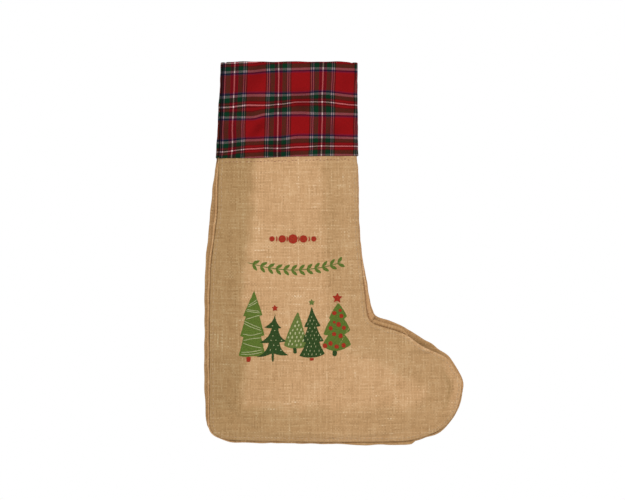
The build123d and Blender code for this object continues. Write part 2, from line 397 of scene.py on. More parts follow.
def at_toe(x, z, soft):
    """1 on the rounded end of the toe, 0 elsewhere."""
    return smooth((x - TOE_X) / soft) * smooth((TOE_TOP - z) / 12) * smooth((z - TOE_LOW) / 16)


def toe_slump(x, z, distance):
    """The front's edge at the toe: a pressed ridge a finger's width in, and a slope from it to the seam."""
    width = TOE_ROLL + 0.5 * np.sin(z / 9.0)
    slope = 1.9 * smooth((width - distance) / width)
    ridge = 0.55 * hump(distance, width, 1.1)
    dip = 0.35 * hump(distance, width + 3.2, 1.6)
    return at_toe(x, z, 14) * (ridge - slope - dip)


def instep_crease(x, z):
    """Pleat on the front panel that runs level from the instep towards the toe."""
    start_x, end_x = ANKLE_POINT[0] + 45, ANKLE_POINT[0] + 92
    height = ANKLE_POINT[1] - 42 - 0.02 * (x - start_x)
    ends = smooth((x - start_x + 14) / 22) * smooth((end_x - x + 8) / 12)
    return ends * (1.9 * hump(z, height + 5.5, 4.2) - 2.0 * hump(z, height, 1.5))


def front_depth(x, z, distance):
    """Depth of the front panel's middle surface."""
    settled = smooth(distance / 14)
    crown = 1.2 * smooth(distance / 60)
    over_fold = 0.6 * (1 - smooth((distance - 30) / 18))
    relief = 0.85 * waves(x, z * 0.6, 3, 80, 170) + 0.22 * waves(x, z * 0.55, 4, 22, 48)
    shaped = settled * (crown + over_fold + relief) + instep_crease(x, z) + toe_slump(x, z, distance)
    under_cuff = smooth((z - CUFF_BASE_Z[0] - 1) / 13)
    return FRONT_MID - edge_roll(distance) + shaped * (1 - under_cuff) - 0.9 * under_cuff


def back_depth(x, z, distance):
    """Depth of the back panel's middle surface: nearly flat, a step in where the cuff covers it."""
    covered = smooth((z - CUFF_BASE_Z[0] + 2) / 10)
    rest = 0.75 + 1.25 * covered
    relief = 0.45 * waves(x, z * 0.6, 8, 70, 150) + 0.15 * waves(x, z, 9, 24, 50)
    return rest + edge_roll(distance, drop=2.0) + smooth(distance / 16) * relief * (1 - covered)


def panel_points(seam):
    """Points and triangles that fill a seam line's outline, finer beside the seam."""
    normal = outward(seam)
    top = seam[0, 1]
    across = np.linspace(seam[-1, 0], seam[0, 0], round((seam[-1, 0] - seam[0, 0]) / PANEL_STEP))
    rim = np.vstack([seam, np.column_stack([across[1:-1], np.full(len(across) - 2, top)])])
    rings = [seam[2:-2] - normal[2:-2] * inset for inset in RINGS]
    xs = np.arange(seam[:, 0].min(), seam[:, 0].max(), PANEL_STEP)
    zs = np.arange(seam[:, 1].min(), top, PANEL_STEP * 0.87)
    grid = np.array([(x + (row % 2) * PANEL_STEP / 2, z) for row, z in enumerate(zs) for x in xs])
    grid = grid[(distance_to(grid, seam) > RINGS[-1] + RING_GAP) & (grid[:, 1] < top - RING_GAP)]
    corners = [Vector(p) for p in np.vstack([rim, *rings, grid])]
    points, _, faces, *_ = delaunay_2d_cdt(corners, [], [list(range(len(rim)))], 1, 1e-4)
    return np.array([tuple(p) for p in points]), faces


def over_gusset(x, z, distance):
    """1 where the folded gusset lies behind the panel, 0 inside of it: the mask of the painted shade over
    that band.
    """
    ragged = 2.2 * waves(x, z, 12, 15, 60) + 1.1 * waves(x * 0.5, z, 13, 3, 9)
    return 1 - smooth((distance - FOLD_WIDTH + 10 + ragged) / 18)


def band_strength(x, z):
    """How dark the painted shade over the folded gusset is: most at the heel side, least at the shin."""
    side = np.interp(x, [-40, 0, 70, 125, 200, 260], [1.0, 0.95, 0.72, 0.42, 0.5, 0.52])
    return side * np.interp(z, [-450, -400, -300, -120], [0.9, 0.95, 1.0, 0.97])


def toe_tone(x, z, distance, tone):
    """The slumped edge at the toe has its painted shade taken off and shows paler, with a painted shaded line
    along the inside of its ridge.

    A painted highlight edges the front where the bellows gapes beside it.
    """
    here = at_toe(x, z, 12)
    pale = here * smooth((TOE_ROLL + 1 - distance) / 3)
    line = here * hump(distance, TOE_ROLL + 3.4, 1.5)
    # painted highlight along the front's edge beside the gaping bellows
    lip = stretch(x, 198, 242, 8) * smooth((-290 - z) / 8) * smooth((z + 372) / 12) * hump(distance, 0, 1.8)
    return tone * (1 - 0.85 * pale) + 0.45 * line - 0.7 * lip


def front_tone(x, z, distance):
    """Shade of the front panel: over the folded gusset, at the toe, and on the lower leg above the heel."""
    tone = toe_tone(x, z, distance, over_gusset(x, z, distance) * band_strength(x, z))
    above_heel = smooth((80 - x) / 60) * stretch(-z, 352, 402, 20)
    return tone + 0.28 * above_heel * (1 - 0.7 * tone)


def back_tone(x, z, distance):
    """Shade of the back panel, over the folded gusset."""
    return 0.5 * over_gusset(x, z, distance)


def build_panel(name, seam, depth_of, tone_of):
    """A burlap panel's middle surface."""
    points, faces = panel_points(seam)
    x, z = points.T
    distance = distance_to(points, seam)
    surface = np.column_stack([x, -depth_of(x, z, distance), below_rim(z)])
    return make_object(name, surface, faces, flat_cloth(x, z), tone_of(x, z, distance))


def relax(piece, pinned, growth, frames, cap):
    """Cloth simulation of a sewn sheet with a little spare cloth; no point moves more than cap."""
    start = places(piece)
    group = piece.vertex_groups.new(name="pinned")
    for index in np.flatnonzero(pinned):
        group.add([int(index)], 1.0, "REPLACE")
    cloth = piece.modifiers.new("cloth", "CLOTH")
    settings = {
        "vertex_group_mass": "pinned",
        "quality": 5,
        "mass": 0.35,
        "tension_stiffness": 25,
        "compression_stiffness": 25,
        "shear_stiffness": 10,
        "bending_stiffness": 2.5,
        "shrink_min": -growth,
    }
    for key, value in settings.items():
        setattr(cloth.settings, key, value)
    cloth.collision_settings.use_collision = False
    cloth.point_cache.frame_start, cloth.point_cache.frame_end = 1, frames
    scene = bpy.context.scene
    for step in range(1, frames + 1):
        scene.frame_set(step)
    evaluated = piece.evaluated_get(bpy.context.evaluated_depsgraph_get())
    moved = np.array([v.co for v in evaluated.data.vertices]) / MM - start
    piece.modifiers.clear()
    piece.vertex_groups.clear()
    scene.frame_set(1)
    limit = np.minimum(1, cap / np.maximum(np.linalg.norm(moved, axis=1), 1e-6))
    settled = (start + moved * limit[:, None]) * MM
    piece.data.vertices.foreach_set("co", settled.astype(np.float32).ravel())
    piece.data.update()


FRONT_PANEL = build_panel("front_panel_cloth", FRONT_SEAM, front_depth, front_tone)
BACK_PANEL = build_panel("back_panel_cloth", BACK_SEAM, back_depth, back_tone)


# -------------------- side gussets

SECTION_SAMPLES = 64
TOE_SPLIT = -385.0  # height on the toe where the two strips meet
PAST_TOE = 400.0  # an x beyond the whole stocking
SPLIT = int(np.argmin(np.abs(FRONT_SEAM[:, 1] - TOE_SPLIT) + PAST_TOE * (FRONT_SEAM[:, 0] < 200)))
UPPER_SHIN = smooth((FROM_ANKLE - 58) / 22)  # where the front panel hides the gusset
HOLLOW = stretch(-FROM_ANKLE, 64, 100, 12)  # where the bellows gapes on the instep
PLEAT = hump(FROM_ANKLE, -8, 1.6)  # tuck at the ankle


def ridge_reach():
    """How far the gusset's front half stands out past the front seam."""
    plain = 1.5 + 0.15 * BACK_REACH
    shin = stretch(FROM_ANKLE, 4, 62, 16)
    instep = stretch(-FROM_ANKLE, 4, 44, 12)
    hollow = stretch(-FROM_ANKLE, 56, 96, 8)
    reach = plain + shin * (0.62 * BACK_REACH + 0.6 - plain) + instep * (0.5 * BACK_REACH + 0.8 - plain)
    reach = reach + hollow * (0.6 - reach)
    x, z = FRONT_SEAM.T
    beside_toe = stretch(x, TOE_X + 4, PAST_TOE, 14) * smooth((z + 432) / 12)
    sole_lip = 2.4 * smooth((x - 122) / 18) * smooth((208 - x) / 5) * (z < -380)
    return reach * (1 - 0.5 * beside_toe) * (1 - 0.75 * UPPER_SHIN) + sole_lip


def strip_shape(controls, rows, wrinkles, loose_out, loose_deep):
    """Points and flat cloth places of a strip swept along the seam.

    controls are the section's knots, as (out, depth) at each station. loose_out and loose_deep say how
    much the strip wrinkles in those two directions.
    """
    seam, normal = FRONT_SEAM[rows], SEAM_NORMAL[rows]
    knots = [[np.broadcast_to(value, len(FRONT_SEAM))[rows] for value in knot] for knot in controls]
    curve = catmull(np.moveaxis(knots, 1, 2), SECTION_SAMPLES)
    out, depth = curve[..., 0], curve[..., 1]
    across = girth(out, depth)
    along = np.broadcast_to(SEAM_ALONG[rows], out.shape)
    shape = np.sin(np.linspace(0, math.pi, SECTION_SAMPLES))[:, None] ** 0.5
    out = out + shape * 0.55 * loose_out * waves(along, across * 1.5, wrinkles, 14, 60)
    depth = depth + shape * 0.35 * loose_deep * waves(along, across * 1.5, wrinkles + 1, 14, 50)
    points = np.stack([seam[:, 0] + normal[:, 0] * out, -depth, seam[:, 1] + normal[:, 1] * out], -1)
    return points, flat_cloth(across, along)


def cuff_fit():
    """How far the cuff's side stands out past the front seam, and 1 where the cuff covers the burlap."""
    x, z = FRONT_SEAM.T
    heel_side = x < (FRONT_SEAM[0, 0] + FRONT_SEAM[-1, 0]) / 2
    base_z = np.where(heel_side, *CUFF_BASE_Z)
    top_x, base_x = np.where(heel_side, *CUFF_TOP_X), np.where(heel_side, *CUFF_BASE_X)
    silhouette = top_x + (base_x - top_x) * np.clip(z / base_z, 0, 1)
    return np.clip(np.abs(silhouette - x) - 0.6, 0.8, 4.6), smooth((z - base_z) / COVER_RAMP + 1)


CUFF_EDGE, COVERED = cuff_fit()


def tucked(reach, spare):
    """A reach past the seam that shrinks under the cuff, to leave it the spare room given."""
    return reach + (CUFF_EDGE - spare - reach) * COVERED


def gusset_controls():
    """Section of the burlap bellows, from the front seam in to the fold and out to the back seam."""
    reach, ridge = tucked(BACK_REACH, 2.2), tucked(ridge_reach() * (1 - 0.55 * PLEAT), 2.4)
    fold = FOLD_REACH * (1 - 0.13 * COVERED)
    sunk = 5.0 * HOLLOW + 2.4 * PLEAT
    return [
        (-3.6, FRONT_OUT - 2.6),
        (-0.7 - HOLLOW - 1.6 * COVERED, FRONT_OUT - 4.2 - 0.4 * sunk),
        (0.25 - 1.5 * HOLLOW - 1.6 * COVERED, FRONT_OUT - 5.4 - 0.6 * sunk),
        (ridge * 0.55 + 0.3 - 2.5 * HOLLOW, FRONT_OUT - 4.3 - sunk * 0.8),
        (ridge + 0.3 - 4.0 * HOLLOW, FRONT_OUT - 5.2 - 0.8 * sunk),
        (ridge * 0.35 - 4.0 * HOLLOW - 3.4 * COVERED, FRONT_OUT - 7.0 - 0.4 * sunk),
        (-6, 13.6 - 2.0 * HOLLOW),
        (-0.55 * fold, 12.0),
        (1.5 - fold, 11.0),
        (-fold, 10.3),
        (1.5 - fold, 9.6),
        (-0.55 * fold, 8.6),
        (-6, 6.9),
        (reach - 1.6, 5.9),
        (reach + 0.3, 4.9),
        (reach + 0.3, 3.9),
        (reach - 0.8, 3.4),
        (reach - 3.4, 2.9),
    ]


def line_along(knot, width):
    """1 on a line along the strip at a knot of its section, falling off over a width in knots."""
    return hump(np.linspace(0, 17, SECTION_SAMPLES), knot, width)[:, None]


def build_gusset(name, rows, tone, wrinkles):
    """One of the two burlap strips, with painted shade in the open fold, at the tuck and along its crease,
    and beside the heel a painted shaded back edge and a painted highlight on its front ridge.
    """
    calm = 1 - COVERED[rows]
    points, cloth = strip_shape(gusset_controls(), rows, wrinkles, calm, calm)
    depth = -points[..., 1]
    points[..., 2] = below_rim(points[..., 2])
    # painted shade down in the open hollow
    hollow_shade = smooth((FRONT_OUT - 5.6 - depth) / 3.5) * smooth((depth - 4.5) / 5)
    # painted lines along the strip: a shaded crease, a highlight on the front ridge, a shaded back edge
    crease_shade, glint, back_edge_shade = line_along(2.2, 0.5), line_along(3.7, 0.6), line_along(14.4, 0.7)
    x = FRONT_SEAM[rows, 0]
    behind_heel = 1 - smooth((x + 20) / 40)
    front_crease_shade = crease_shade * (1 - stretch(x, TOE_X - 8, PAST_TOE, 14)) * (1 - UPPER_SHIN[rows])
    shade = tone[rows] + 1.4 * hollow_shade * HOLLOW[rows] + 0.7 * PLEAT[rows]
    shade = shade + 0.6 * behind_heel * (back_edge_shade - glint) + front_crease_shade * (0.35 + 0.15 * behind_heel)
    return make_object(name, points, grid_faces(*depth.shape), cloth, shade)


# painted shade of each gusset strip along the seam; below 0 it paints the strip lighter
HEEL_STRIP_SHADE = np.full(len(FRONT_SEAM), 0.6)
INSTEP_STRIP_SHADE = np.interp(FROM_ANKLE, [-150, -120, -12, -8], [0.1, 0.45, 0.5, -0.1])
HEEL_GUSSET = build_gusset("heel_gusset_cloth", slice(0, SPLIT + 1), HEEL_STRIP_SHADE, 21)
INSTEP_GUSSET = build_gusset("instep_gusset_cloth", slice(SPLIT, len(FRONT_SEAM)), INSTEP_STRIP_SHADE, 31)


# -------------------- tartan cuff

TARTAN_THICK, TARTAN_STRIP_THICK = 0.8, 0.7
FACING_DROP, HEM_RISE = 40.0, 16.0  # how far the cuff is turned in at the top and at the bottom
ACROSS_ROWS = 74  # points across a cuff sheet
SETT = 51.7  # repeat of the tartan
SETT_X, SETT_Z = -3.5, -50.5  # a white stripe's crossing
OVERHANG = 1.5  # how far a cuff sheet reaches past the burlap's edge
HEM_ROWS, FACE_MIDDLE, FACE_END = 5, 26, 48  # rows of a cuff sheet where its face begins, lies flat and ends

# How far the level stripes of the front cuff have drifted up: height of a stripe, then its drift at DRIFT_X
DRIFT_X = (-19, 16, 33, 48, 72, 99, 138)
DRIFTS = {
    -11: (-3.8, -2.6, -0.8, 0.0, 0.4, 1.0, -0.3),
    -37: (-1.8, 0.0, 0.2, 0.0, 0.5, 2.1, -0.9),
    -50: (-3.2, -0.8, -1.3, 0.0, 3.0, 2.9, -0.8),
    -62: (-4.9, -4.9, -1.2, 0.0, 0.2, -0.6, -1.1),
    -88: (-3.7, -1.2, -0.6, 0.0, 2.6, 2.5, 1.5),
    -102: (-4.2, -0.6, 0.2, 0.0, 1.5, 2.7, 2.6),
}


def seam_x(seam, z):
    """x of a seam at height z, on the heel side and on the shin side."""
    heel, shin = seam[: len(seam) // 4], seam[-(len(seam) // 8) :]
    return np.interp(-z, -heel[:, 1], heel[:, 0]), np.interp(z, shin[:, 1], shin[:, 0])


def cuff_x(seam, across, z):
    """x at a share across a cuff sheet, 0 at the heel side, at height z."""
    left, right = seam_x(seam, z)
    return left - OVERHANG + (right - left + 2 * OVERHANG) * across


def glide(at, stops, values):
    """Runs softly from one value to the next at the stops; the values may be arrays."""
    total = values[0]
    for start, end, value in zip(stops, stops[1:], values[1:]):
        total = total + (value - total) * smooth((at - start) / (end - start))
    return total


def stripe_drift(x, z):
    """How far the level stripes have drifted up."""
    return glide(z, list(DRIFTS), [glide(x, DRIFT_X, row) for row in DRIFTS.values()])


def stripe_lean(x, z):
    """How far the upright stripes lean towards the heel side, lower down."""
    return np.interp(x, [-20, -4, 48, 140], [-4.2, -3.6, -1.9, -1.5]) * np.clip(z / -105, 0, 1.1)


def soft_fold(x, z):
    """Slack diagonal fold on the front of the cuff."""
    heading = math.radians(38)
    along = (x - 16) * math.cos(heading) - (z + 66) * math.sin(heading)
    across = (x - 16) * math.sin(heading) + (z + 66) * math.cos(heading)
    return hump(along, 0, 26) * (1.5 * hump(across, 3, 6) - 1.1 * hump(across, -5, 3.5))


def cuff_profile(face, hem, facing, base, top):
    """Depth and z down a cuff sheet: up the turned hem, round the bottom, up the face, over, down inside.

    face, hem and facing are the depths of the three legs; base and top are z of the sheet's two folds.
    """
    inward = np.sign(facing - face)
    steps = [(hem, base + HEM_RISE), (hem, base + 9), (hem, base + 1.6)]
    steps += [(hem * 0.6 + face * 0.4, base + 0.3), (face * 0.8 + hem * 0.2, base + 0.1), (face, base + 1.4)]
    steps += [(face, base + 1.4 + (top - base - 3.4) * t) for t in np.linspace(0.03, 0.97, 40)]
    steps += [(face + inward * 0.15, top - 0.9), (face + inward * 0.6, top - 0.2), ((face + facing) / 2, top)]
    steps += [(facing - inward * 0.6, top - 0.3), (facing - inward * 0.1, top - 1.3)]
    steps += [(facing, top - drop) for drop in np.linspace(3.5, FACING_DROP, 14)]
    return np.moveaxis([[np.broadcast_to(v, base.shape) for v in step] for step in steps], 1, 0)


def cuff_shade(x, z, from_heel_side):
    """Shade on the cuff: where it turns back at the heel side, beside the slack fold, and in patches."""
    turned_back = 1 - smooth((from_heel_side - 3.2 - z / 60) / 1.8)
    off, along = ((x - 21) - (z + 75)) * 0.7, ((x - 21) + (z + 75)) * 0.7
    beside_fold = 0.34 * hump(off, 5, 5) * hump(along, 0, 15)
    patches = 0.15 * np.maximum(waves(x, z, 47, 26, 70), 0)
    return turned_back + beside_fold + patches


def build_cuff(name, side, seam, covered_depth, seed):
    """One of the cuff's two sheets. side is 1 for the front and -1 for the back."""
    across = np.linspace(0, 1, ACROSS_ROWS)
    from_edge = np.minimum(across, 1 - across) * (CUFF_TOP_X[1] - CUFF_TOP_X[0])
    base = CUFF_BASE_Z[0] + (CUFF_BASE_Z[1] - CUFF_BASE_Z[0]) * across
    base = base + 0.45 * waves(across * 160, 0, seed, 25, 90)
    top = -0.5 - 1.9 * (1 - smooth(from_edge / 7)) + 0.4 * waves(across * 160, 0, seed + 1, 18, 60)
    face = CUFF_OUT - 0.4 if side > 0 else TARTAN_THICK / 2
    depth, z = cuff_profile(face, face - side * 0.95, face - side * 2.6, base, top)
    row = np.arange(len(z))[:, None]
    folded_in = np.interp(row, [HEM_ROWS - 2, HEM_ROWS, FACE_END - 2, FACE_END + 2], [1, 0, 0, 1])
    x = cuff_x(seam, 0.5 + (across - 0.5) * (1 - 0.032 * folded_in), z)
    run = girth(depth, z)
    flat_z = z[FACE_MIDDLE] + run - run[FACE_MIDDLE]
    on_face = (row >= HEM_ROWS) & (row < FACE_END)
    depth = depth + covered_depth(x, z) - side * edge_roll(from_edge, 2.4, 1.8) * (0.3 + 0.7 * on_face)
    sway = waves(x, z, seed + 2, 28, 80)
    slack = np.maximum(0.9 + soft_fold(x, z) + 0.4 * sway, 0) if side > 0 else 0.25 * (sway + 1)
    depth = depth + on_face * smooth(from_edge / 8) * slack
    drift = stripe_drift(x, z) if side > 0 else 0.5 * stripe_drift(118 - x, z)
    flat_x = x - SETT_X - stripe_lean(x, z) + 0.25 * waves(x, z, seed + 3, 30, 90)
    cloth = flat_cloth(flat_x, flat_z - SETT_Z - drift)
    faces = grid_faces(*z.shape, flip=side < 0)
    return make_object(name, np.stack([x, -depth, z], -1), faces, cloth, cuff_shade(x, z, x - x[:, :1]))


def over_front_panel(x, z):
    """How far the front panel pushes the cuff out."""
    flat = np.column_stack([x.ravel(), z.ravel()])
    distance = np.maximum(distance_to(flat, FRONT_SEAM), EDGE_ROLL)
    pushed = front_depth(*flat.T, distance) - FRONT_MID
    return np.maximum(pushed, 0).reshape(x.shape) + 0.25


CUFF_FRONT = build_cuff("cuff_front_cloth", 1, FRONT_SEAM, over_front_panel, 41)
CUFF_BACK = build_cuff("cuff_back_cloth", -1, BACK_SEAM, lambda x, z: np.zeros_like(x), 51)


FACING_GAP = 1.9  # between the two layers of a turned-in strip
GUSSET_PHASE = 6.2  # brings the dark green stripe to the strip's visible roll
GUSSET_RIM = -2.2  # height of the strip's upper edge


def turned_in(points, interior):
    """A strip continued over the rim and down its inner side, with each point's height on the flat cloth.

    interior is the sign of x towards the stocking's inside.
    """
    run = np.gradient(points[..., :2], axis=0)
    inward = unit(np.stack([-run[..., 1], run[..., 0]], -1))
    apex = np.argmax(points[:, -1, 0] * interior)
    inward *= np.sign(inward[apex, -1, 0]) * interior
    rim = points[:, -1, 2].mean()
    doubled = points[0, :, 2] > rim - FACING_DROP
    facing = points[:, doubled][:, ::-1].copy()
    facing[..., :2] += FACING_GAP * inward[:, doubled][:, ::-1]
    crest = (points[:, -1:] + facing[:, :1]) / 2 + (0, 0, 0.6)
    flat_z = np.concatenate([points[..., 2], crest[..., 2], 2 * rim - facing[..., 2]], 1)
    return np.concatenate([points, crest, facing], 1), flat_z


def build_cuff_gusset(name, heel_side):
    """Tartan strip over the outside of the burlap bellows, nested in its fold and turned over the rim."""
    drop = -CUFF_BASE_Z[0 if heel_side else 1] - 3.2
    if heel_side:
        rows = np.arange(int(np.searchsorted(SEAM_ALONG, drop)), -1, -1)
    else:
        count = int(np.searchsorted(SEAM_ALONG[-1] - SEAM_ALONG[::-1], drop))
        rows = np.arange(len(FRONT_SEAM) - 1 - count, len(FRONT_SEAM))
    controls = [
        (-1.0, CUFF_OUT - 2.0),
        (CUFF_EDGE - 1.0, CUFF_OUT - 2.6),
        (CUFF_EDGE + 0.6, CUFF_OUT - 4.0),
        (CUFF_EDGE - 0.6, CUFF_OUT - 6.2),
        (-5, 12.9),
        (-0.5 * FOLD_REACH, 11.35),
        (3.2 - 0.9 * FOLD_REACH, 10.7),
        (2.4 - 0.9 * FOLD_REACH, 10.3),
        (3.2 - 0.9 * FOLD_REACH, 9.9),
        (-0.5 * FOLD_REACH, 9.3),
        (-5, 7.9),
        (CUFF_EDGE - 0.8, 6.0),
        (CUFF_EDGE + 0.5, 4.4),
        (CUFF_EDGE + 0.4, 2.8),
        (CUFF_EDGE - 1.4, 1.9),
    ]
    points, cloth = strip_shape(controls, rows, 61 if heel_side else 71, 1.0, 0.5)
    lift = GUSSET_RIM - points[:, -1, 2].mean()
    points[..., 2] += lift * np.linspace(0, 1, len(rows)) ** 3
    points, flat_z = turned_in(points, 1 if heel_side else -1)
    drift = stripe_drift(DRIFT_X[0 if heel_side else -1], flat_z)
    across = np.broadcast_to(cloth[:, -1:, 0], flat_z.shape) + GUSSET_PHASE
    faces = grid_faces(*flat_z.shape, flip=heel_side)
    return make_object(name, points, faces, flat_cloth(across, flat_z - SETT_Z - drift))


CUFF_GUSSET_HEEL = build_cuff_gusset("cuff_gusset_heel_cloth", True)
CUFF_GUSSET_SHIN = build_cuff_gusset("cuff_gusset_shin_cloth", False)


# -------------------- surfaces to sit on


def surface_of(piece):
    """Ray-cast tree of a piece's mesh, in millimetres."""
    return BVHTree.FromPolygons(places(piece).tolist(), [tuple(p.vertices) for p in piece.data.polygons])


def depths_on(tree, x, z, side, fallback):
    """Depth of a surface at places x, z, seen from the front (side 1) or the back (-1)."""
    found = []
    for a, b in zip(np.ravel(x), np.ravel(z)):
        hit = tree.ray_cast(Vector((a, -60.0 * side, b)), Vector((0, side, 0)))[0]
        found.append(fallback if hit is None else -hit.y)
    return np.array(found).reshape(np.shape(x))


# -------------------- thread, tape and fibres


def thread(path, radius, sides, run):
    """Closed tube along a path; radius may vary along it. run is each point's place along the thread."""
    path = np.asarray(path, float)
    along = unit(np.gradient(path, axis=0))
    side = unit(np.cross(along, (0.0, -1.0, 0.0)))
    lift = np.cross(side, along)
    turn = np.linspace(0, 2 * math.pi, sides, endpoint=False)[None, :, None]
    ring = np.cos(turn) * side[:, None, :] + np.sin(turn) * lift[:, None, :]
    points = path[:, None, :] + np.broadcast_to(radius, len(path))[:, None, None] * ring
    faces = ring_faces(len(path), sides) + end_caps(len(path), sides)
    cloth = flat_cloth(np.repeat(run, sides), np.tile(np.arange(sides) / sides, len(path)))
    return points.reshape(-1, 3), faces, cloth


def merge(shapes):
    """Several (points, faces, cloth) shapes as one."""
    points, faces, cloth, start = [], [], [], 0
    for shape_points, shape_faces, shape_cloth in shapes:
        points.append(shape_points)
        cloth.append(shape_cloth)
        faces += [tuple(i + start for i in face) for face in shape_faces]
        start += len(shape_points)
    return np.vstack(points), faces, np.vstack(cloth)


def stitch(middle, heading, length, radius, sink, side):
    """One stitch: an arch of thread whose two ends dive into the cloth. heading is in x and z."""
    t = np.linspace(-1, 1, 9)
    reach = t * length / 2
    rise = radius * 0.7 - sink * np.abs(t) ** 3
    path = np.column_stack([middle[0] + heading[0] * reach, middle[1] - rise, middle[2] + heading[1] * reach])
    points, faces, cloth = thread(path, radius * (1 - 0.35 * np.abs(t) ** 4), 8, reach + length / 2)
    if side < 0:
        points[:, 1] = 2 * middle[1] - points[:, 1]
        faces = [face[::-1] for face in faces]
    return points, faces, cloth


SEAM_INSET, SEAM_PITCH = 3.5, 5.2  # how far in from the seam its stitches run, and how far apart


def seam_stitches(name, seam, tree, side, fallback, seed):
    """Row of stitches that follows a seam line, from just under the cuff all the way round."""
    draw = np.random.default_rng(seed)
    line = resample(seam - outward(seam) * SEAM_INSET, SEAM_PITCH)
    heading = unit(np.gradient(line, axis=0))
    jogged = line + draw.normal(0, 0.18, (len(line), 2))
    depth = depths_on(tree, *jogged.T, side, fallback)
    shapes = [
        stitch((jogged[i, 0], -depth[i], jogged[i, 1]), heading[i], SEAM_PITCH * 0.74, 0.36, 0.75, side)
        for i in range(2, len(line) - 2)
        if line[i, 1] < CUFF_BASE_Z[0] - 1
    ]
    return make_object(name, *merge(shapes))


CUFF_PITCH = 4.1  # how far apart the stitches under the cuff are


def cuff_stitches(name, tree, side, fallback, seed):
    """Line of reddish thread on the burlap just under the cuff, where its hem is sewn down."""
    draw = np.random.default_rng(seed)
    shapes = []
    for x in np.arange(CUFF_BASE_X[0] + 8, CUFF_BASE_X[1] - 8, CUFF_PITCH):
        share = (x - CUFF_BASE_X[0]) / (CUFF_BASE_X[1] - CUFF_BASE_X[0])
        z = CUFF_BASE_Z[0] + (CUFF_BASE_Z[1] - CUFF_BASE_Z[0]) * share - 4.6 + draw.normal(0, 0.35)
        if draw.random() < 0.1:
            continue
        depth = float(depths_on(tree, x, z, side, fallback))
        heading = unit(np.array([1.0, draw.normal(0, 0.12)]))
        shapes.append(stitch((x, -depth, z), heading, draw.uniform(1.9, 3.1), 0.26, 0.5, side))
    return make_object(name, *merge(shapes))


def toe_join():
    """Stitches that close the two gussets into one at the toe, across the strip's outer folds."""
    rows = places(HEEL_GUSSET).reshape(2, SECTION_SAMPLES, -1, 3).mean(0)[:, -2]
    shapes = []
    for start in range(3, SECTION_SAMPLES - 6, 3):
        path = catmull(rows[start : start + 3], 7)
        if path[:, 0].min() >= rows[:, 0].max() - 14:
            shapes.append(thread(path + (0.6, 0, 0), 0.35, 8, np.linspace(0, 3, 7)))
    return make_object("toe_join_stitches", *merge(shapes))


def ribbon(centre, across):
    """Woven tape with rounded selvedges. across are unit vectors over its width, along the centre line."""
    face = unit(np.cross(unit(np.gradient(centre, axis=0)), across))
    half, thick = TAPE_WIDTH / 2, TAPE_THICK / 2
    lip, shallow = half - 0.35, thick * 0.92
    upper = [(half, thick / 2), (lip, thick), (0.3 * half, shallow)]
    upper += [(-a, b) for a, b in upper[::-1]]
    u, v = np.array([(-a, -b) for a, b in upper] + upper).T
    points = centre[:, None, :] + u[:, None] * across[:, None, :] + v[:, None] * face[:, None, :]
    count, sides = points.shape[:2]
    cloth = flat_cloth(*np.broadcast_arrays(u[None, :], arc_lengths(centre)[:, None]))
    return points.reshape(-1, 3), ring_faces(count, sides) + end_caps(count, sides), cloth.reshape(-1, 3)


TAPE_WIDTH, TAPE_THICK = 9.6, 1.0
TAPE_LEG = (LOOP_HIGH[0] - LOOP_LOW[0]) / 2 - 5.0  # x of a leg's middle
TAPE_DEPTH = -(LOOP_LOW[1] + LOOP_HIGH[1]) / 2


def hanging_loop():
    """Free tape behind the cuff: down one leg, folded to a point, up the other."""
    point_z = LOOP_LOW[2] + 0.8 + TAPE_WIDTH * 0.62
    knee = point_z + TAPE_LEG
    leg = [(TAPE_LEG, z) for z in np.linspace(LOOP_HIGH[2] - 0.4, knee + 6, 16)]
    turn = [(TAPE_LEG - 0.2, knee + 1.5), (TAPE_LEG - 1.6, knee - 2.6), (TAPE_LEG - 5.4, knee - 7.0)]
    half = np.array([*leg, *turn, (2.6, point_z + 1.6), (0.0, point_z + 0.6)])
    route = catmull(np.vstack([half, half[-2::-1] * (-1, 1)]), 150)
    along = arc_lengths(route)
    sway = 0.22 * np.sin(along / 11.0) * (1 - hump(along, along[-1] / 2, 7))
    centre = np.column_stack([route[:, 0], -TAPE_DEPTH - sway, route[:, 1]])
    across = unit(np.cross(np.gradient(centre, axis=0), (0.0, 1.0, 0.0)))
    return make_object("hang_loop_tape", *ribbon(centre, across))


def tape_ends():
    """The loop's two ends, sewn flat on the back of the cuff and turned over at the hinge line."""
    shapes = []
    for side in (-1, 1):
        route = [(0.55, -10.0), (0.6, -6.0), (0.62, -2.4), (0.9, -1.25)]
        centre = catmull([(side * TAPE_LEG, y, z) for y, z in route], 16)
        shapes.append(ribbon(centre, np.tile((1.0, 0.0, 0.0), (len(centre), 1))))
    return make_object("loop_tape_ends", *merge(shapes))


def bartacks():
    """Dense zigzag rows of thread that hold the tape ends."""
    shapes = []
    steps = np.arange(-4.0, 4.05, 0.42)
    zigzag = np.where(np.arange(len(steps)) % 2, 0.62, -0.62)
    for side in (-1, 1):
        for z in (-3.5, -7.5):
            rows = np.column_stack([side * TAPE_LEG + steps, np.full(len(steps), 1.28), z + zigzag])
            path = catmull(rows, len(steps) * 4)
            shapes.append(thread(path, 0.2, 6, arc_lengths(path)))
    return make_object("loop_bartack_thread", *merge(shapes))


# -------------------- print


def bowed(a, b, bow, count=9):
    """Points from a to b along a shallow arc that bows to its left."""
    a, b = np.array(a, float), np.array(b, float)
    t = np.linspace(0, 1, count)[:, None]
    side = np.array([-(b - a)[1], (b - a)[0]])
    return a + (b - a) * t + side * bow * 4 * t * (1 - t)


def rounded(points, radius):
    """A closed outline with its corners cut round."""
    points = np.array(points, float)
    t = np.linspace(0, 1, 5)[:, None]
    out = []
    for before, here, after in zip(np.roll(points, 1, 0), points, np.roll(points, -1, 0)):
        start, end = (
            here + unit(to - here) * min(radius, np.linalg.norm(to - here) * 0.45) for to in (before, after)
        )
        out.append((1 - t) ** 2 * start + 2 * t * (1 - t) * here + t * t * end)
    return np.vstack(out)


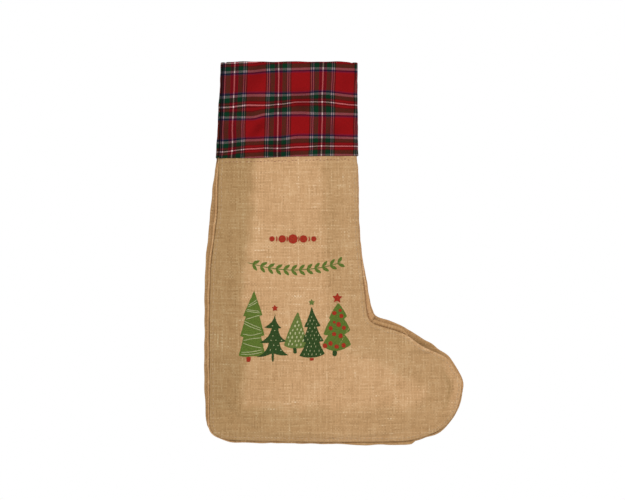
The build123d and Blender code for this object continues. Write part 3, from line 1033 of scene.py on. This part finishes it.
def tree_outline(apex, tiers, droop, tip_radius):
    """Outline of a tree. Each tier is its left and right tip and its left and right waist."""
    halves = []
    for side in (0, 1):
        path, start = [], apex
        for tier in tiers:
            path += list(bowed(start, tier[side], droop if side else -droop))
            start = tier[2 + side]
            path += list(bowed(tier[side], start, 0.06 if side else -0.06, 5))[1:]
        halves.append(path)
    return rounded(halves[1] + halves[0][:0:-1], tip_radius)


def disc(x, z, radius, squeeze=1.0, lean=0.0, count=18):
    """Outline of a leaning oval."""
    turn = np.linspace(0, 2 * math.pi, count, endpoint=False)
    oval = radius * np.exp(1j * lean) * (np.cos(turn) + 1j * squeeze * np.sin(turn))
    return np.column_stack([x + oval.real, z + oval.imag])


def star(x, z, radius, lean=0.0):
    """Outline of a five-pointed star with blunt points."""
    turn = np.arange(10) * math.pi / 5 + math.pi / 2 + lean
    reach = np.where(np.arange(10) % 2 == 0, radius, radius * 0.47)
    return rounded(np.column_stack([x + reach * np.cos(turn), z + reach * np.sin(turn)]), radius * 0.16)


def stroke(points, width):
    """A brush stroke along points, tapering a little to both ends."""
    path = resample(catmull(np.array(points, float), 40), 0.8)
    normal = outward(path)
    t = np.linspace(-1, 1, len(path))
    half = width / 2 * np.sqrt(np.clip(1.05 - t**6, 0.1, 1))[:, None]
    return np.vstack([path + normal * half, (path - normal * half)[::-1]])


def inside(outline, x, z):
    """Whether a place lies within an outline."""
    (ax, az), (bx, bz) = outline.T, np.roll(outline, -1, axis=0).T
    crossing_x = (bx - ax) * (z - az) / np.where(bz == az, 1e-9, bz - az) + ax
    return bool((((az > z) != (bz > z)) & (x < crossing_x)).sum() % 2)


TREE_TALL = tree_outline(
    (18.9, -269.3),
    [
        ((6.0, -298.9), (28.6, -297.3), (9.2, -299.4), (25.4, -299.2)),
        ((2.6, -322.6), (31.0, -321.4), (6.6, -323.4), (27.0, -323.0)),
        ((0.9, -345.6), (32.0, -344.2), (15.0, -346.4), (17.0, -346.2)),
    ],
    0.0, 0.8,
)
TREE_PAGODA = tree_outline(
    (43.9, -295.6),
    [
        ((30.4, -312.3), (50.9, -312.8), (39.6, -313.2), (47.2, -313.4)),
        ((25.0, -330.0), (56.6, -328.4), (36.4, -330.4), (48.6, -330.0)),
        ((21.6, -347.2), (59.8, -345.0), (39.6, -343.2), (42.0, -343.2)),
    ],
    -0.14, 0.9,
)
TREE_CONE = tree_outline(
    (70.4, -293.6), [((53.8, -333.6), (80.4, -334.6), (65.0, -337.2), (68.6, -337.2))], 0.03, 2.4
)
TREE_SPRUCE = tree_outline(
    (86.5, -287.8),
    [
        ((77.6, -311.6), (97.2, -310.4), (82.0, -311.9), (92.2, -311.6)),
        ((74.4, -329.2), (100.8, -327.9), (80.0, -329.4), (95.4, -329.0)),
        ((71.8, -345.6), (102.0, -343.4), (85.4, -347.6), (87.6, -347.6)),
    ],
    -0.035, 1.2,
)
TREE_BAUBLES = tree_outline(
    (117.8, -283.6),
    [
        ((107.0, -301.6), (128.0, -299.4), (108.6, -303.0), (124.4, -302.4)),
        ((100.4, -320.4), (131.8, -315.6), (106.0, -321.8), (125.0, -320.4)),
        ((98.8, -334.4), (133.0, -332.6), (112.6, -340.2), (116.0, -340.2)),
    ],
    0.04, 2.2,
)
BAUBLES = [
    *((113.1, -295.6, 2.6), (120.0, -292.4, 2.0), (121.4, -299.0, 2.6), (113.0, -306.2, 1.8)),
    *((118.2, -308.9, 3.0), (108.9, -313.4, 2.6), (124.4, -312.9, 2.5), (112.8, -320.2, 2.5)),
    *((120.6, -322.4, 2.9), (108.7, -331.2, 2.8), (115.8, -334.9, 2.7), (124.0, -333.4, 2.8)),
    (102.2, -334.0, 2.9),
]
GARLAND_LEFT, GARLAND_RIGHT, GARLAND_TOP, GARLAND_SAG = 11.0, 121.0, -236.0, 9.0
LEAF = 9.6  # length of a leaf
BERRY_Z = -208.5
BERRIES = [(40.0, 3.2), (52.0, 4.4), (64.5, 5.6), (77.0, 4.4), (89.0, 3.2)]  # x and radius


def scattered(outline, spacing, seed, margin):
    """Evenly scattered places within an outline, clear of its edge."""
    draw = np.random.default_rng(seed)
    low, high = outline.min(0), outline.max(0)
    found = []
    for row, z in enumerate(np.arange(high[1] - margin * 2, low[1], -spacing * 0.88)):
        for x in np.arange(low[0] + (row % 2) * spacing / 2, high[0], spacing):
            a, b = x + draw.normal(0, spacing * 0.1), z + draw.normal(0, spacing * 0.08)
            near = [(a, b + margin), (a, b - margin), (a + margin, b), (a - margin, b)]
            if all(inside(outline, *place) for place in near):
                found.append((a, b))
    return found


def garland_leaves():
    """Leafy garland with a thin stem, in place of the object's second line of lettering."""

    def stem(x):
        t = (x - GARLAND_LEFT) / (GARLAND_RIGHT - GARLAND_LEFT)
        return GARLAND_TOP - GARLAND_SAG * 4 * t * (1 - t)

    xs = np.linspace(GARLAND_LEFT, GARLAND_RIGHT, 30)
    shapes = [stroke(np.column_stack([xs, stem(xs)]), 0.95)]
    for x in np.linspace(GARLAND_LEFT + 6, GARLAND_RIGHT - 4, 12):
        slope = math.atan2(stem(x + 1) - stem(x - 1), 2)
        for side in (-1, 1):
            lean = slope + side * math.radians(40)
            tip = (x + LEAF * math.cos(lean), stem(x) + LEAF * math.sin(lean))
            root = (x, stem(x) + side * 0.3)
            shapes.append(np.vstack([bowed(root, tip, 0.2), bowed(tip, root, 0.2)[1:-1]]))
    return shapes


def tall_tree_lines():
    """Pale brush lines wound round the tall tree."""
    lines = [
        ((12.0, -286.4), (17.5, -283.2), (22.6, -279.4)), ((11.4, -288.6), (17.0, -286.0), (23.0, -282.6)),
        ((9.8, -291.6), (17.0, -292.4), (25.4, -293.6)), ((9.2, -293.0), (17.6, -294.4), (26.0, -295.4)),
        ((9.0, -303.2), (18.0, -300.2), (26.4, -297.8)), ((7.4, -305.0), (15.0, -308.6), (27.2, -313.6)),
        ((6.6, -307.2), (14.6, -311.6), (27.8, -316.2)), ((5.4, -320.0), (16.0, -321.6), (28.4, -318.6)),
        ((6.2, -327.8), (16.0, -325.8), (28.0, -324.4)), ((5.2, -330.6), (15.4, -334.0), (28.6, -336.8)),
        ((3.6, -341.6), (15.0, -341.2), (28.8, -338.6)), ((3.2, -343.8), (16.0, -344.0), (29.0, -341.2)),
    ]
    return [stroke(line, 0.7) for line in lines]


def berry_row():
    """Row of red berries with small sprigs, in place of the object's first line of lettering."""
    shapes = [disc(x, BERRY_Z, r, 0.97, 0.3, 26) for x, r in BERRIES]
    for (a, ra), (b, rb) in zip(BERRIES, BERRIES[1:]):
        x = (a + ra + b - rb) / 2
        shapes.append(stroke([(x - 0.4, BERRY_Z - 3.2), (x + 0.3, BERRY_Z), (x - 0.3, BERRY_Z + 3.2)], 1.3))
    return shapes


PRINT_SHAPES = {
    "print_light_green": [TREE_CONE, star(86.5, -283.2, 4.2)],
    "print_mid_green": [TREE_TALL, TREE_BAUBLES, *garland_leaves()],
    "print_dark_green": [
        TREE_PAGODA,
        TREE_SPRUCE,
        stroke([(41.0, -342.6), (40.8, -347.0), (40.9, -352.8)], 2.4),
        stroke([(66.6, -336.4), (66.8, -339.5), (67.2, -343.2)], 4.0),
        stroke([(114.0, -339.4), (113.6, -342.6), (113.2, -346.0)], 5.2),
    ],
    "print_red": [
        star(43.4, -289.9, 4.3, 0.1),
        star(116.6, -277.9, 6.5, -0.05),
        rounded([(9.6, -347.2), (15.2, -347.0), (14.6, -352.8), (10.2, -353.0)], 1.2),
        rounded([(84.0, -348.4), (89.2, -348.3), (88.6, -351.4), (84.8, -351.5)], 0.9),
        *[disc(x, z, r, 0.92, x, 16) for x, z, r in BAUBLES],
        *berry_row(),
    ],
    "print_cream": [
        *tall_tree_lines(),
        *[disc(x, z, 0.75, 0.9, 0.0, 8) for x, z in scattered(TREE_PAGODA, 6.4, 5, 1.6)],
        *[disc(x, z, 1.7, 0.55, 1.35, 10) for x, z in scattered(TREE_CONE, 5.0, 6, 1.4)],
        *[disc(x, z, 1.25, 0.34, 1.45, 8) for x, z in scattered(TREE_SPRUCE, 5.0, 7, 1.4)],
    ],
}
INK_STEP = 1.7  # how far apart the points inside a print shape are


def ink_layer(name, outlines, lift, seed):
    """Thin skin of ink in the outlines given, laid on the front panel with slightly uneven edges."""
    all_points, all_faces, start = [], [], 0
    for outline in outlines:
        closed = resample(np.vstack([outline, outline[:1]]), 0.9)
        ring = closed[:-1]
        xs, zs = (np.arange(low + 0.8, high, INK_STEP) for low, high in zip(ring.min(0), ring.max(0)))
        grid = np.array([(x, z) for x in xs for z in zs]).reshape(-1, 2)
        grid = grid[distance_to(grid, closed) > 0.6]
        corners = [Vector(p) for p in np.vstack([ring, grid])]
        points, _, faces, *_ = delaunay_2d_cdt(corners, [], [list(range(len(ring)))], 1, 1e-5)
        points = np.array([tuple(p) for p in points])
        wobble = (distance_to(points, closed) < 0.05)[:, None] * 0.14
        jog = np.column_stack([waves(*points.T, seed + 2 * k, 1.8, 4.5) for k in (0, 1)])
        all_points.append(points + wobble * jog)
        all_faces += [[i + start for i in face] for face in faces]
        start += len(points)
    points = np.vstack(all_points)
    x, z = points.T
    depth = depths_on(PANEL_TREE, x, z, 1, FRONT_OUT) + lift
    # the ink carries the same painted shade over the folded gusset as the panel beneath
    tone = over_gusset(x, z, distance_to(points, FRONT_SEAM)) * band_strength(x, z)
    return make_object(name, np.column_stack([x, -depth, z]), all_faces, flat_cloth(x, z), tone)


# -------------------- materials


class Look:
    """A procedural material in the making."""

    def __init__(self, name, roughness, sheen=0.0, specular=0.25):
        self.material = bpy.data.materials.new(name)
        self.material.use_nodes = True
        self.tree = self.material.node_tree
        self.shader = self.tree.nodes["Principled BSDF"].inputs
        self.shader["Roughness"].default_value = roughness
        self.shader["Sheen Weight"].default_value = sheen
        self.shader["Sheen Roughness"].default_value = 0.6
        self.shader["Specular IOR Level"].default_value = specular

    def add(self, kind, inputs, output=0, **settings):
        """One output of a new node, whose inputs are plain values or other outputs."""
        made = self.tree.nodes.new(kind)
        for key, value in settings.items():
            setattr(made, key, value)
        for key, value in inputs.items():
            if isinstance(value, Field):
                self.tree.links.new(value.socket, made.inputs[key])
            else:
                made.inputs[key].default_value = value
        return Field(self, made.outputs[output])

    def attribute(self, name, output):
        """An attribute of the mesh."""
        return self.add("ShaderNodeAttribute", {}, output, attribute_name=name)

    def place(self):
        """Place on the flat cloth in millimetres."""
        return self.attribute("cloth", "Vector")

    def finish(self, colour, normal=None):
        """The material, with its colour and surface normal."""
        self.tree.links.new(colour.socket, self.shader["Base Color"])
        if normal:
            self.tree.links.new(normal.socket, self.shader["Normal"])
        return self.material


class Field:
    """A number, place or colour that varies over a surface. Each step with it adds a node."""

    def __init__(self, look, socket):
        self.look, self.socket = look, socket

    def math(self, operation, other=0.0, third=0.0):
        """A sum with this number."""
        return self.look.add("ShaderNodeMath", {0: self, 1: other, 2: third}, operation=operation)

    def __add__(self, other):
        return self.math("ADD", other)

    def __sub__(self, other):
        return self.math("SUBTRACT", other)

    def __mul__(self, other):
        return self.math("MULTIPLY", other)

    def __truediv__(self, other):
        return self.math("DIVIDE", other)

    def __abs__(self):
        return self.math("ABSOLUTE")

    def wave(self, length):
        """Sine of this number that repeats after a length."""
        return (self * (2 * math.pi / length)).math("SINE")

    def step(self, low, high):
        """0 where this number is below low, 1 above high, smooth between."""
        inputs = {"Value": self, "From Min": low, "From Max": high}
        return self.look.add("ShaderNodeMapRange", inputs, "Result", interpolation_type="SMOOTHSTEP")

    def remap(self, low, high):
        """A 0 to 1 number stretched to run from low to high."""
        return self.look.add("ShaderNodeMapRange", {"Value": self, "To Min": low, "To Max": high}, "Result")

    def ramp(self, stops):
        """Colour that runs through the stops, each a position and red, green, blue and perhaps alpha."""
        colour = self.look.add("ShaderNodeValToRGB", {"Fac": self})
        elements = colour.socket.node.color_ramp.elements
        while len(elements) < len(stops):
            elements.new(0.5)
        for element, (position, tint) in zip(elements, stops):
            element.position = position
            element.color = (*tint, 1.0)[:4]
        return colour

    def alpha(self):
        """Alpha of a ramp's colour."""
        return Field(self.look, self.socket.node.outputs["Alpha"])

    def mix(self, factor, colour, blend="MIX"):
        """This colour blended with another."""
        inputs = {0: factor, 6: self, 7: colour if isinstance(colour, Field) else (*colour, 1.0)}
        return self.look.add("ShaderNodeMix", inputs, 2, data_type="RGBA", blend_type=blend)

    def bump(self, distance, strength):
        """Surface normal over a relief of this height."""
        inputs = {"Strength": strength, "Distance": distance * MM, "Height": self}
        return self.look.add("ShaderNodeBump", inputs, "Normal")

    def split(self):
        """The x and y of a place."""
        outputs = self.look.add("ShaderNodeSeparateXYZ", {0: self}).socket.node.outputs
        return Field(self.look, outputs[0]), Field(self.look, outputs[1])

    def vector_math(self, operation, other):
        """A sum with this place."""
        return self.look.add("ShaderNodeVectorMath", {0: self, 1: other}, operation=operation)

    def noise(self, scale, detail=2.0, roughness=0.55, output="Fac"):
        """Noise at this place."""
        inputs = {"Vector": self, "Scale": scale, "Detail": detail, "Roughness": roughness}
        return self.look.add("ShaderNodeTexNoise", inputs, output)

    def drawn_noise(self, across, along, detail):
        """Noise with its own scales in the cloth's two directions."""
        return self.vector_math("MULTIPLY", (across, along, 1.0)).noise(1.0, detail)

    def wandered(self, drift, scale):
        """This place moved about by noise, up to half the drift each way."""
        wander = self.noise(scale, output="Color").vector_math("SUBTRACT", (0.5, 0.5, 0.5))
        wander = self.look.add("ShaderNodeVectorMath", {0: wander, "Scale": drift}, operation="SCALE")
        return self.vector_math("ADD", wander)


def plain_weave(place):
    """Plain weave of the burlap: each yarn set's number, and the heights of the upright and level yarns."""
    x, z = place.split()
    u, v = x / WARP_PITCH, z / WEFT_PITCH
    su, sv = u.wave(2.0), v.wave(2.0)
    cross = su * sv * 0.38
    return u, v, abs(su) * 0.62 + cross, abs(sv) * 0.62 - cross


def yarn_tone(number_axis, run_axis, seed):
    """Uneven colour of one set of yarns, from 0 to 1: each yarn differs, and drifts along its length."""
    look, number = number_axis.look, number_axis.math("FLOOR")
    along = look.add("ShaderNodeCombineXYZ", {0: number * 7.31, 1: run_axis * 0.11, 2: seed})
    own = look.add("ShaderNodeTexWhiteNoise", {"W": number + seed}, "Value", noise_dimensions="1D")
    return along.noise(1.0, 3.0, 0.6) * 0.84 + own * 0.16


WARP_PITCH, WEFT_PITCH = 1.75, 1.95
JUTE_DARK, JUTE_MID, JUTE_LIGHT = (0.40, 0.224, 0.098), (0.625, 0.374, 0.186), (0.83, 0.585, 0.345)
JUTE_SLUB, JUTE_GAP_SHADE = (0.95, 0.76, 0.53), (0.30, 0.165, 0.07)  # thick pale yarn, and the painted shade in the holes between
JUTE_SPREAD = 0.3525  # how far from the mean the yarn tones reach
OVER_GUSSET_SHADE = (0.70, 0.715, 0.64)  # tint of the painted shade where the folded gusset lies behind the open weave
DEEP_SHADE = (0.42, 0.34, 0.27)  # down in an open fold


def jute(look):
    """Colour and surface normal of the burlap."""
    place = look.place().wandered(4.0, 0.03).wandered(1.3, 0.4)
    u, v, warp, weft = plain_weave(place)
    over = (warp - weft).step(-0.06, 0.06)
    tone = look.add("ShaderNodeMix", {0: over, 2: yarn_tone(v, u, 11.0), 3: yarn_tone(u, v, 3.0)})
    hair = place.drawn_noise(2.1, 2.1, 3.0)
    tone = tone + (hair - 0.5) * 0.35 + (place.noise(0.018, 3.0, 0.5) - 0.5) * 0.22
    colour = tone.ramp([(0.5 - JUTE_SPREAD, JUTE_DARK), (0.5, JUTE_MID), (0.5 + JUTE_SPREAD, JUTE_LIGHT)])
    colour = colour.mix(tone.step(0.66, 0.78) * 0.4, JUTE_SLUB)
    height = warp.math("MAXIMUM", weft)
    # painted shade down between the yarns, where the weave sits low
    colour = colour.mix(height.step(0.12, 0.52).remap(0.26, 0.0), JUTE_GAP_SHADE)
    # painted shade from the tone attribute, and deeper painted shade where it runs past 0.9, as down in an
    # open fold
    folded = look.attribute("tone", "Fac")
    colour = colour.mix(folded, OVER_GUSSET_SHADE, "MULTIPLY")
    colour = colour.mix(folded.step(0.9, 1.6), DEEP_SHADE, "MULTIPLY")
    return colour, (height + tone * 0.5 + hair * 0.3).bump(0.45, 0.6)


def burlap_look(name, tint=None):
    """Burlap, perhaps tinted."""
    look = Look(name, 0.95, specular=0.06)
    colour, normal = jute(look)
    return look.finish(colour.mix(0.5, tint, "MULTIPLY") if tint else colour, normal)


def stripes(axis, threads):
    """Thread colour by distance from the sett's pale stripe, mirrored on both sides of it."""
    share = abs((axis / SETT + 0.5).math("FRACT") - 0.5) * 2.0
    soft, stops = 0.13, []
    for index, (start, colour, pale) in enumerate(threads):
        if index:
            stops.append((start - soft, stops[-1][1]))
        stops.append((start + soft if index else 0.0, (*colour, pale)))
    return share.ramp([(at / (SETT / 2), colour) for at, colour in stops])


CUFF_SHADE = (0.14, 0.2, 0.26)
TWILL_PITCH, TARTAN_YARN = 1.15, 0.46
FIELD_RED = (0.262, 0.0055, 0.007)

# Stripes of the sett outwards from its pale line: where one starts, its colour, how pale it crosses others
WARP_THREADS = [
    (0.0, (0.60, 0.30, 0.29), 1.0),
    (0.55, (0.10, 0.010, 0.014), 0.0),
    (1.5, (0.052, 0.002, 0.009), 0.0),
    (3.2, (0.090, 0.003, 0.010), 0.0),
    (4.5, (0.003, 0.036, 0.014), 0.0),
    (9.5, (0.004, 0.006, 0.022), 0.0),
    (10.4, (0.28, 0.17, 0.16), 0.45),
    (11.3, (0.003, 0.006, 0.030), 0.0),
    (12.8, (0.26, 0.15, 0.13), 0.45),
    (13.6, (0.03, 0.008, 0.008), 0.0),
    (15.2, FIELD_RED, 0.0),
]
WEFT_THREADS = [
    (0.0, (0.80, 0.36, 0.36), 1.0),
    (0.65, (0.06, 0.002, 0.003), 0.0),
    (1.9, (0.20, 0.005, 0.006), 0.0),
    (3.9, (0.03, 0.006, 0.004), 0.0),
    (4.9, (0.003, 0.032, 0.012), 0.0),
    (9.2, (0.23, 0.15, 0.16), 0.4),
    (11.9, (0.002, 0.003, 0.040), 0.0),
    (13.6, (0.15, 0.012, 0.048), 0.0),
    (15.0, (0.285, 0.006, 0.007), 0.0),
]


def tartan_look(name):
    """Twill tartan: upright and level threads cross half and half, so each stripe darkens the other."""
    look = Look(name, 0.9, specular=0.04)
    place = look.place().wandered(0.5, 0.12)
    x, z = place.split()
    warp, weft = stripes(x, WARP_THREADS), stripes(z, WEFT_THREADS)
    rib = ((x + z) / TWILL_PITCH).math("FRACT")
    colour = weft.mix(abs(rib - 0.5).step(0.2, 0.3), warp)
    blend = look.add("ShaderNodeGamma", {"Color": warp.mix(1.0, weft, "MULTIPLY"), "Gamma": 0.5})
    colour = colour.mix(0.45, blend).mix(warp.alpha() * weft.alpha(), (0.86, 0.83, 0.76))
    uneven = (place.drawn_noise(2.6, 0.25, 2.0) + place.drawn_noise(0.25, 2.6, 2.0)) * 0.5
    colour = colour.mix(1.0, uneven.remap(0.55, 1.45), "MULTIPLY")
    colour = colour.mix(look.attribute("tone", "Fac"), CUFF_SHADE, "MULTIPLY")
    height = (x + z).wave(TWILL_PITCH) + x.wave(TARTAN_YARN) * 0.4
    return look.finish(colour, height.bump(0.07, 0.8))


def thread_look(name, dark, light, pitch):
    """Twisted sewing thread. Its cloth coordinates run along it and once round it."""
    look = Look(name, 0.75, sheen=0.1, specular=0.3)
    x, z = look.place().split()
    twist = (x / pitch + z).wave(1.0)
    colour = (twist * 0.25 + look.place().noise(3.0)).ramp([(0.25, dark), (0.75, light)])
    return look.finish(colour, twist.bump(0.08, 0.8))


def tape_look(name):
    """Herringbone cotton tape."""
    look = Look(name, 0.88, sheen=0.08, specular=0.2)
    place = look.place().wandered(0.3, 0.2)
    x, z = place.split()
    rib = (z + (x + 20.0).math("PINGPONG", 1.6) * 0.9).wave(0.9)
    tone = rib * 0.16 + place.noise(1.6, 3.0)
    colour = tone.ramp([(0.25, (0.46, 0.33, 0.2)), (0.5, (0.62, 0.48, 0.31)), (0.8, (0.78, 0.65, 0.46))])
    return look.finish(colour, (rib + x.wave(0.55) * 0.35).bump(0.12, 0.9))


def ink_look(name, colour, cover=0.97):
    """Screen ink on burlap: it sits on the yarns' tops and leaves the gaps and some fibres bare."""
    look = Look(name, 0.93, specular=0.04)
    base, normal = jute(look)
    place = look.place()
    _, _, warp, weft = plain_weave(place)
    held = warp.math("MAXIMUM", weft) * 0.5 + place.noise(0.55, 4.0, 0.65)
    share = held.step(0.42, 0.78).remap(0.88 * cover, cover)
    dark, light = (tuple(min(1.0, c * strength) for c in colour) for strength in (0.6, 1.3))
    return look.finish(base.mix(share, place.noise(0.9, 3.0).ramp([(0.3, dark), (0.7, light)])), normal)


BURLAP = burlap_look("burlap")
GUSSET = burlap_look("gusset burlap", (0.95, 0.86, 0.76))
TARTAN = tartan_look("tartan")
JUTE_THREAD = thread_look("jute thread", (0.42, 0.25, 0.12), (0.72, 0.52, 0.31), 0.9)
CUFF_THREAD = thread_look("cuff thread", (0.2, 0.05, 0.03), (0.42, 0.14, 0.08), 0.7)
TAPE = tape_look("tape")
MID_GREEN = ink_look("mid green ink", (0.094, 0.165, 0.024))
DARK_GREEN = ink_look("dark green ink", (0.010, 0.058, 0.012))
LIGHT_GREEN = ink_look("light green ink", (0.118, 0.180, 0.038))
RED = ink_look("red ink", (0.36, 0.020, 0.010))
CREAM = ink_look("cream ink", (0.46, 0.50, 0.26), 0.9)


# -------------------- assembly


PANEL_SLACK = 0.006  # share by which the panels' cloth has grown slack
SETTLE_FRAMES = 22
HELD_EDGE = 6.5  # width beside the seam that the simulation leaves in place
for panel, seam, cap in ((FRONT_PANEL, FRONT_SEAM, 2.0), (BACK_PANEL, BACK_SEAM, 0.8)):
    points = places(panel)
    held = (distance_to(points[:, [0, 2]], seam) < HELD_EDGE) | (points[:, 2] > CUFF_BASE_Z[1] - 3)
    relax(panel, held, PANEL_SLACK, SETTLE_FRAMES, cap)

THICKNESSES = {
    BURLAP_THICK: (FRONT_PANEL, BACK_PANEL),
    GUSSET_THICK: (HEEL_GUSSET, INSTEP_GUSSET),
    TARTAN_THICK: (CUFF_FRONT, CUFF_BACK),
    TARTAN_STRIP_THICK: (CUFF_GUSSET_HEEL, CUFF_GUSSET_SHIN),
}
for thickness, pieces in THICKNESSES.items():
    for piece in pieces:
        thicken(piece, thickness)

PANEL_TREE = surface_of(FRONT_PANEL)
BACK_TREE = surface_of(BACK_PANEL)

FRONT_STITCHES = seam_stitches("front_seam_stitches", FRONT_SEAM, PANEL_TREE, 1, FRONT_OUT, 81)
BACK_STITCHES = seam_stitches("back_seam_stitches", BACK_SEAM, BACK_TREE, -1, 0.0, 82)
TOE_STITCHES = toe_join()
CUFF_STITCHES_FRONT = cuff_stitches("cuff_stitches_front", PANEL_TREE, 1, FRONT_OUT, 83)
CUFF_STITCHES_BACK = cuff_stitches("cuff_stitches_back", BACK_TREE, -1, 0.0, 84)
LOOP = hanging_loop()
LOOP_ENDS = tape_ends()
LOOP_BARTACKS = bartacks()

# CAD node of a print colour: its ink, how far it stands off the panel, and a seed
INKS = {
    "print_light_green": (LIGHT_GREEN, 0.12, 95),
    "print_mid_green": (MID_GREEN, 0.17, 91),
    "print_dark_green": (DARK_GREEN, 0.25, 93),
    "print_red": (RED, 0.34, 97),
    "print_cream": (CREAM, 0.36, 99),
}
PRINTS = {
    node: ink_layer(node + "_ink", PRINT_SHAPES[node], lift, seed) for node, (_, lift, seed) in INKS.items()
}

# piece, body or pair of bodies, material, record slot, CAD node it stands for
BOTH = ("back_shell", "front_shell")
PIECES = [
    (FRONT_PANEL, "front_shell", BURLAP, "burlap", "front_panel"),
    (BACK_PANEL, "back_shell", BURLAP, "burlap", "back_panel"),
    (HEEL_GUSSET, BOTH, GUSSET, "burlap_gusset", "heel_gusset"),
    (INSTEP_GUSSET, BOTH, GUSSET, "burlap_gusset", "instep_gusset"),
    (CUFF_FRONT, "front_shell", TARTAN, "tartan", "cuff_front"),
    (CUFF_BACK, "back_shell", TARTAN, "tartan", "cuff_back"),
    (CUFF_GUSSET_HEEL, BOTH, TARTAN, "tartan", "cuff_gusset_heel"),
    (CUFF_GUSSET_SHIN, BOTH, TARTAN, "tartan", "cuff_gusset_shin"),
    (FRONT_STITCHES, "front_shell", JUTE_THREAD, "jute_thread", "front_seam_thread"),
    (BACK_STITCHES, "back_shell", JUTE_THREAD, "jute_thread", "back_seam_thread"),
    (TOE_STITCHES, BOTH, JUTE_THREAD, "jute_thread", "toe_join_thread"),
    (CUFF_STITCHES_FRONT, "front_shell", CUFF_THREAD, "cuff_thread", "cuff_thread_front"),
    (CUFF_STITCHES_BACK, "back_shell", CUFF_THREAD, "cuff_thread", "cuff_thread_back"),
    (LOOP, "loop", TAPE, "tape", "hang_loop"),
    (LOOP_ENDS, "back_shell", TAPE, "tape", "loop_ends"),
    (LOOP_BARTACKS, "back_shell", JUTE_THREAD, "jute_thread", "loop_bartacks"),
]
for node, (look, _, _) in INKS.items():
    PIECES.append((PRINTS[node], "front_shell", look, node[6:] + "_ink", node))
BACK_SEAM_DEPTH, FRONT_SEAM_DEPTH = 3.0, FRONT_OUT - 4.2
for piece, body, look, slot, node in PIECES:
    piece.data.materials.clear()
    piece.data.materials.append(look)
    if body is BOTH:
        start, end = (0, -BACK_SEAM_DEPTH * MM, 0), (0, -FRONT_SEAM_DEPTH * MM, 0)
        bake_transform(piece)
    else:
        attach(piece, body)
    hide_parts(node)


def panel_cut(node, facing):
    """Reads the CAD outline that a burlap panel is cut flat to, in x and z and in metres; nothing is done
    with it.
    """
    x, z = face_outline(node, facing).T * MM


panel_cut("front_panel", -1)
panel_cut("back_panel", 1)


# -------------------- stage

MIDDLE_X = (cad_low.x + cad_high.x) / 2
FLOOR_Z = -0.62
LAMPS = [  # name, place, size, energy
    ("key light", (-1.1, -1.9, 1.3), 1.1, 17.0),
    ("fill light", (1.6, -1.7, 0.2), 1.6, 6.0),
    ("back light", (0.4, 1.9, 0.9), 1.6, 9.0),
]


def studio():
    """White surroundings that light the part evenly, and three soft lamps."""
    scene = bpy.context.scene
    world = bpy.data.worlds.new("studio")
    world.use_nodes = True
    tree = world.node_tree
    seen, lit = tree.nodes["Background"], tree.nodes.new("ShaderNodeBackground")
    for background, strength in ((seen, 1.0), (lit, 0.76)):
        background.inputs["Color"].default_value = (1, 1, 1, 1)
        background.inputs["Strength"].default_value = strength
    path, mix = tree.nodes.new("ShaderNodeLightPath"), tree.nodes.new("ShaderNodeMixShader")
    tree.links.new(path.outputs["Is Camera Ray"], mix.inputs[0])
    tree.links.new(lit.outputs[0], mix.inputs[1])
    tree.links.new(seen.outputs[0], mix.inputs[2])
    tree.links.new(mix.outputs[0], tree.nodes["World Output"].inputs["Surface"])
    scene.world = world
    scene.view_settings.view_transform = "Standard"
    aim = Vector((MIDDLE_X, 0, (cad_low.z + cad_high.z) / 2))
    for name, place, size, energy in LAMPS:
        lamp = bpy.data.lights.new(name, "AREA")
        lamp.energy, lamp.size = energy, size
        holder = bpy.data.objects.new(name, lamp)
        holder.location = place
        holder.rotation_euler = (aim - Vector(place)).to_track_quat("-Z", "Y").to_euler()
        scene.collection.objects.link(holder)


def floor():
    """Pale round floor well below the hanging part."""
    sides = 96
    turn = np.linspace(0, 2 * math.pi, sides, endpoint=False)
    rings = [(0.0001, 0.0), (0.74, 0.0), (0.78, -0.002), (0.8, -0.008), (0.8, -0.03)]
    points = [(MIDDLE_X + r * math.cos(a), r * math.sin(a), FLOOR_Z + z) for r, z in rings for a in turn]
    points = np.array(points) / MM
    faces = [face[::-1] for face in ring_faces(len(rings), sides)]
    slab = make_object("floor", points, faces, flat_cloth(points[:, 0], points[:, 1]))
    look = Look("floor paint", 0.7)
    fleck = look.place().noise(0.02, 3.0)
    colour = fleck.ramp([(0.3, (0.80, 0.80, 0.79)), (0.7, (0.85, 0.85, 0.84))])
    slab.data.materials.append(look.finish(colour))


CAMERA_LENS, SENSOR = 120.0, 36.0  # millimetres
VIEW_WIDTH = 0.734  # what the picture spans at the printed face
VIEW_X, VIEW_Z = 0.0875, -0.2215  # the picture's middle


def camera():
    """Long lens that looks straight at the printed face."""
    lens = bpy.data.cameras.new("camera")
    lens.lens, lens.sensor_width = CAMERA_LENS, SENSOR
    holder = bpy.data.objects.new("camera", lens)
    holder.location = (VIEW_X, -FRONT_OUT * MM - VIEW_WIDTH * CAMERA_LENS / SENSOR, VIEW_Z)
    holder.rotation_euler = (math.pi / 2, 0, 0)
    bpy.context.scene.collection.objects.link(holder)
    bpy.context.scene.camera = holder


studio()
floor()
camera()
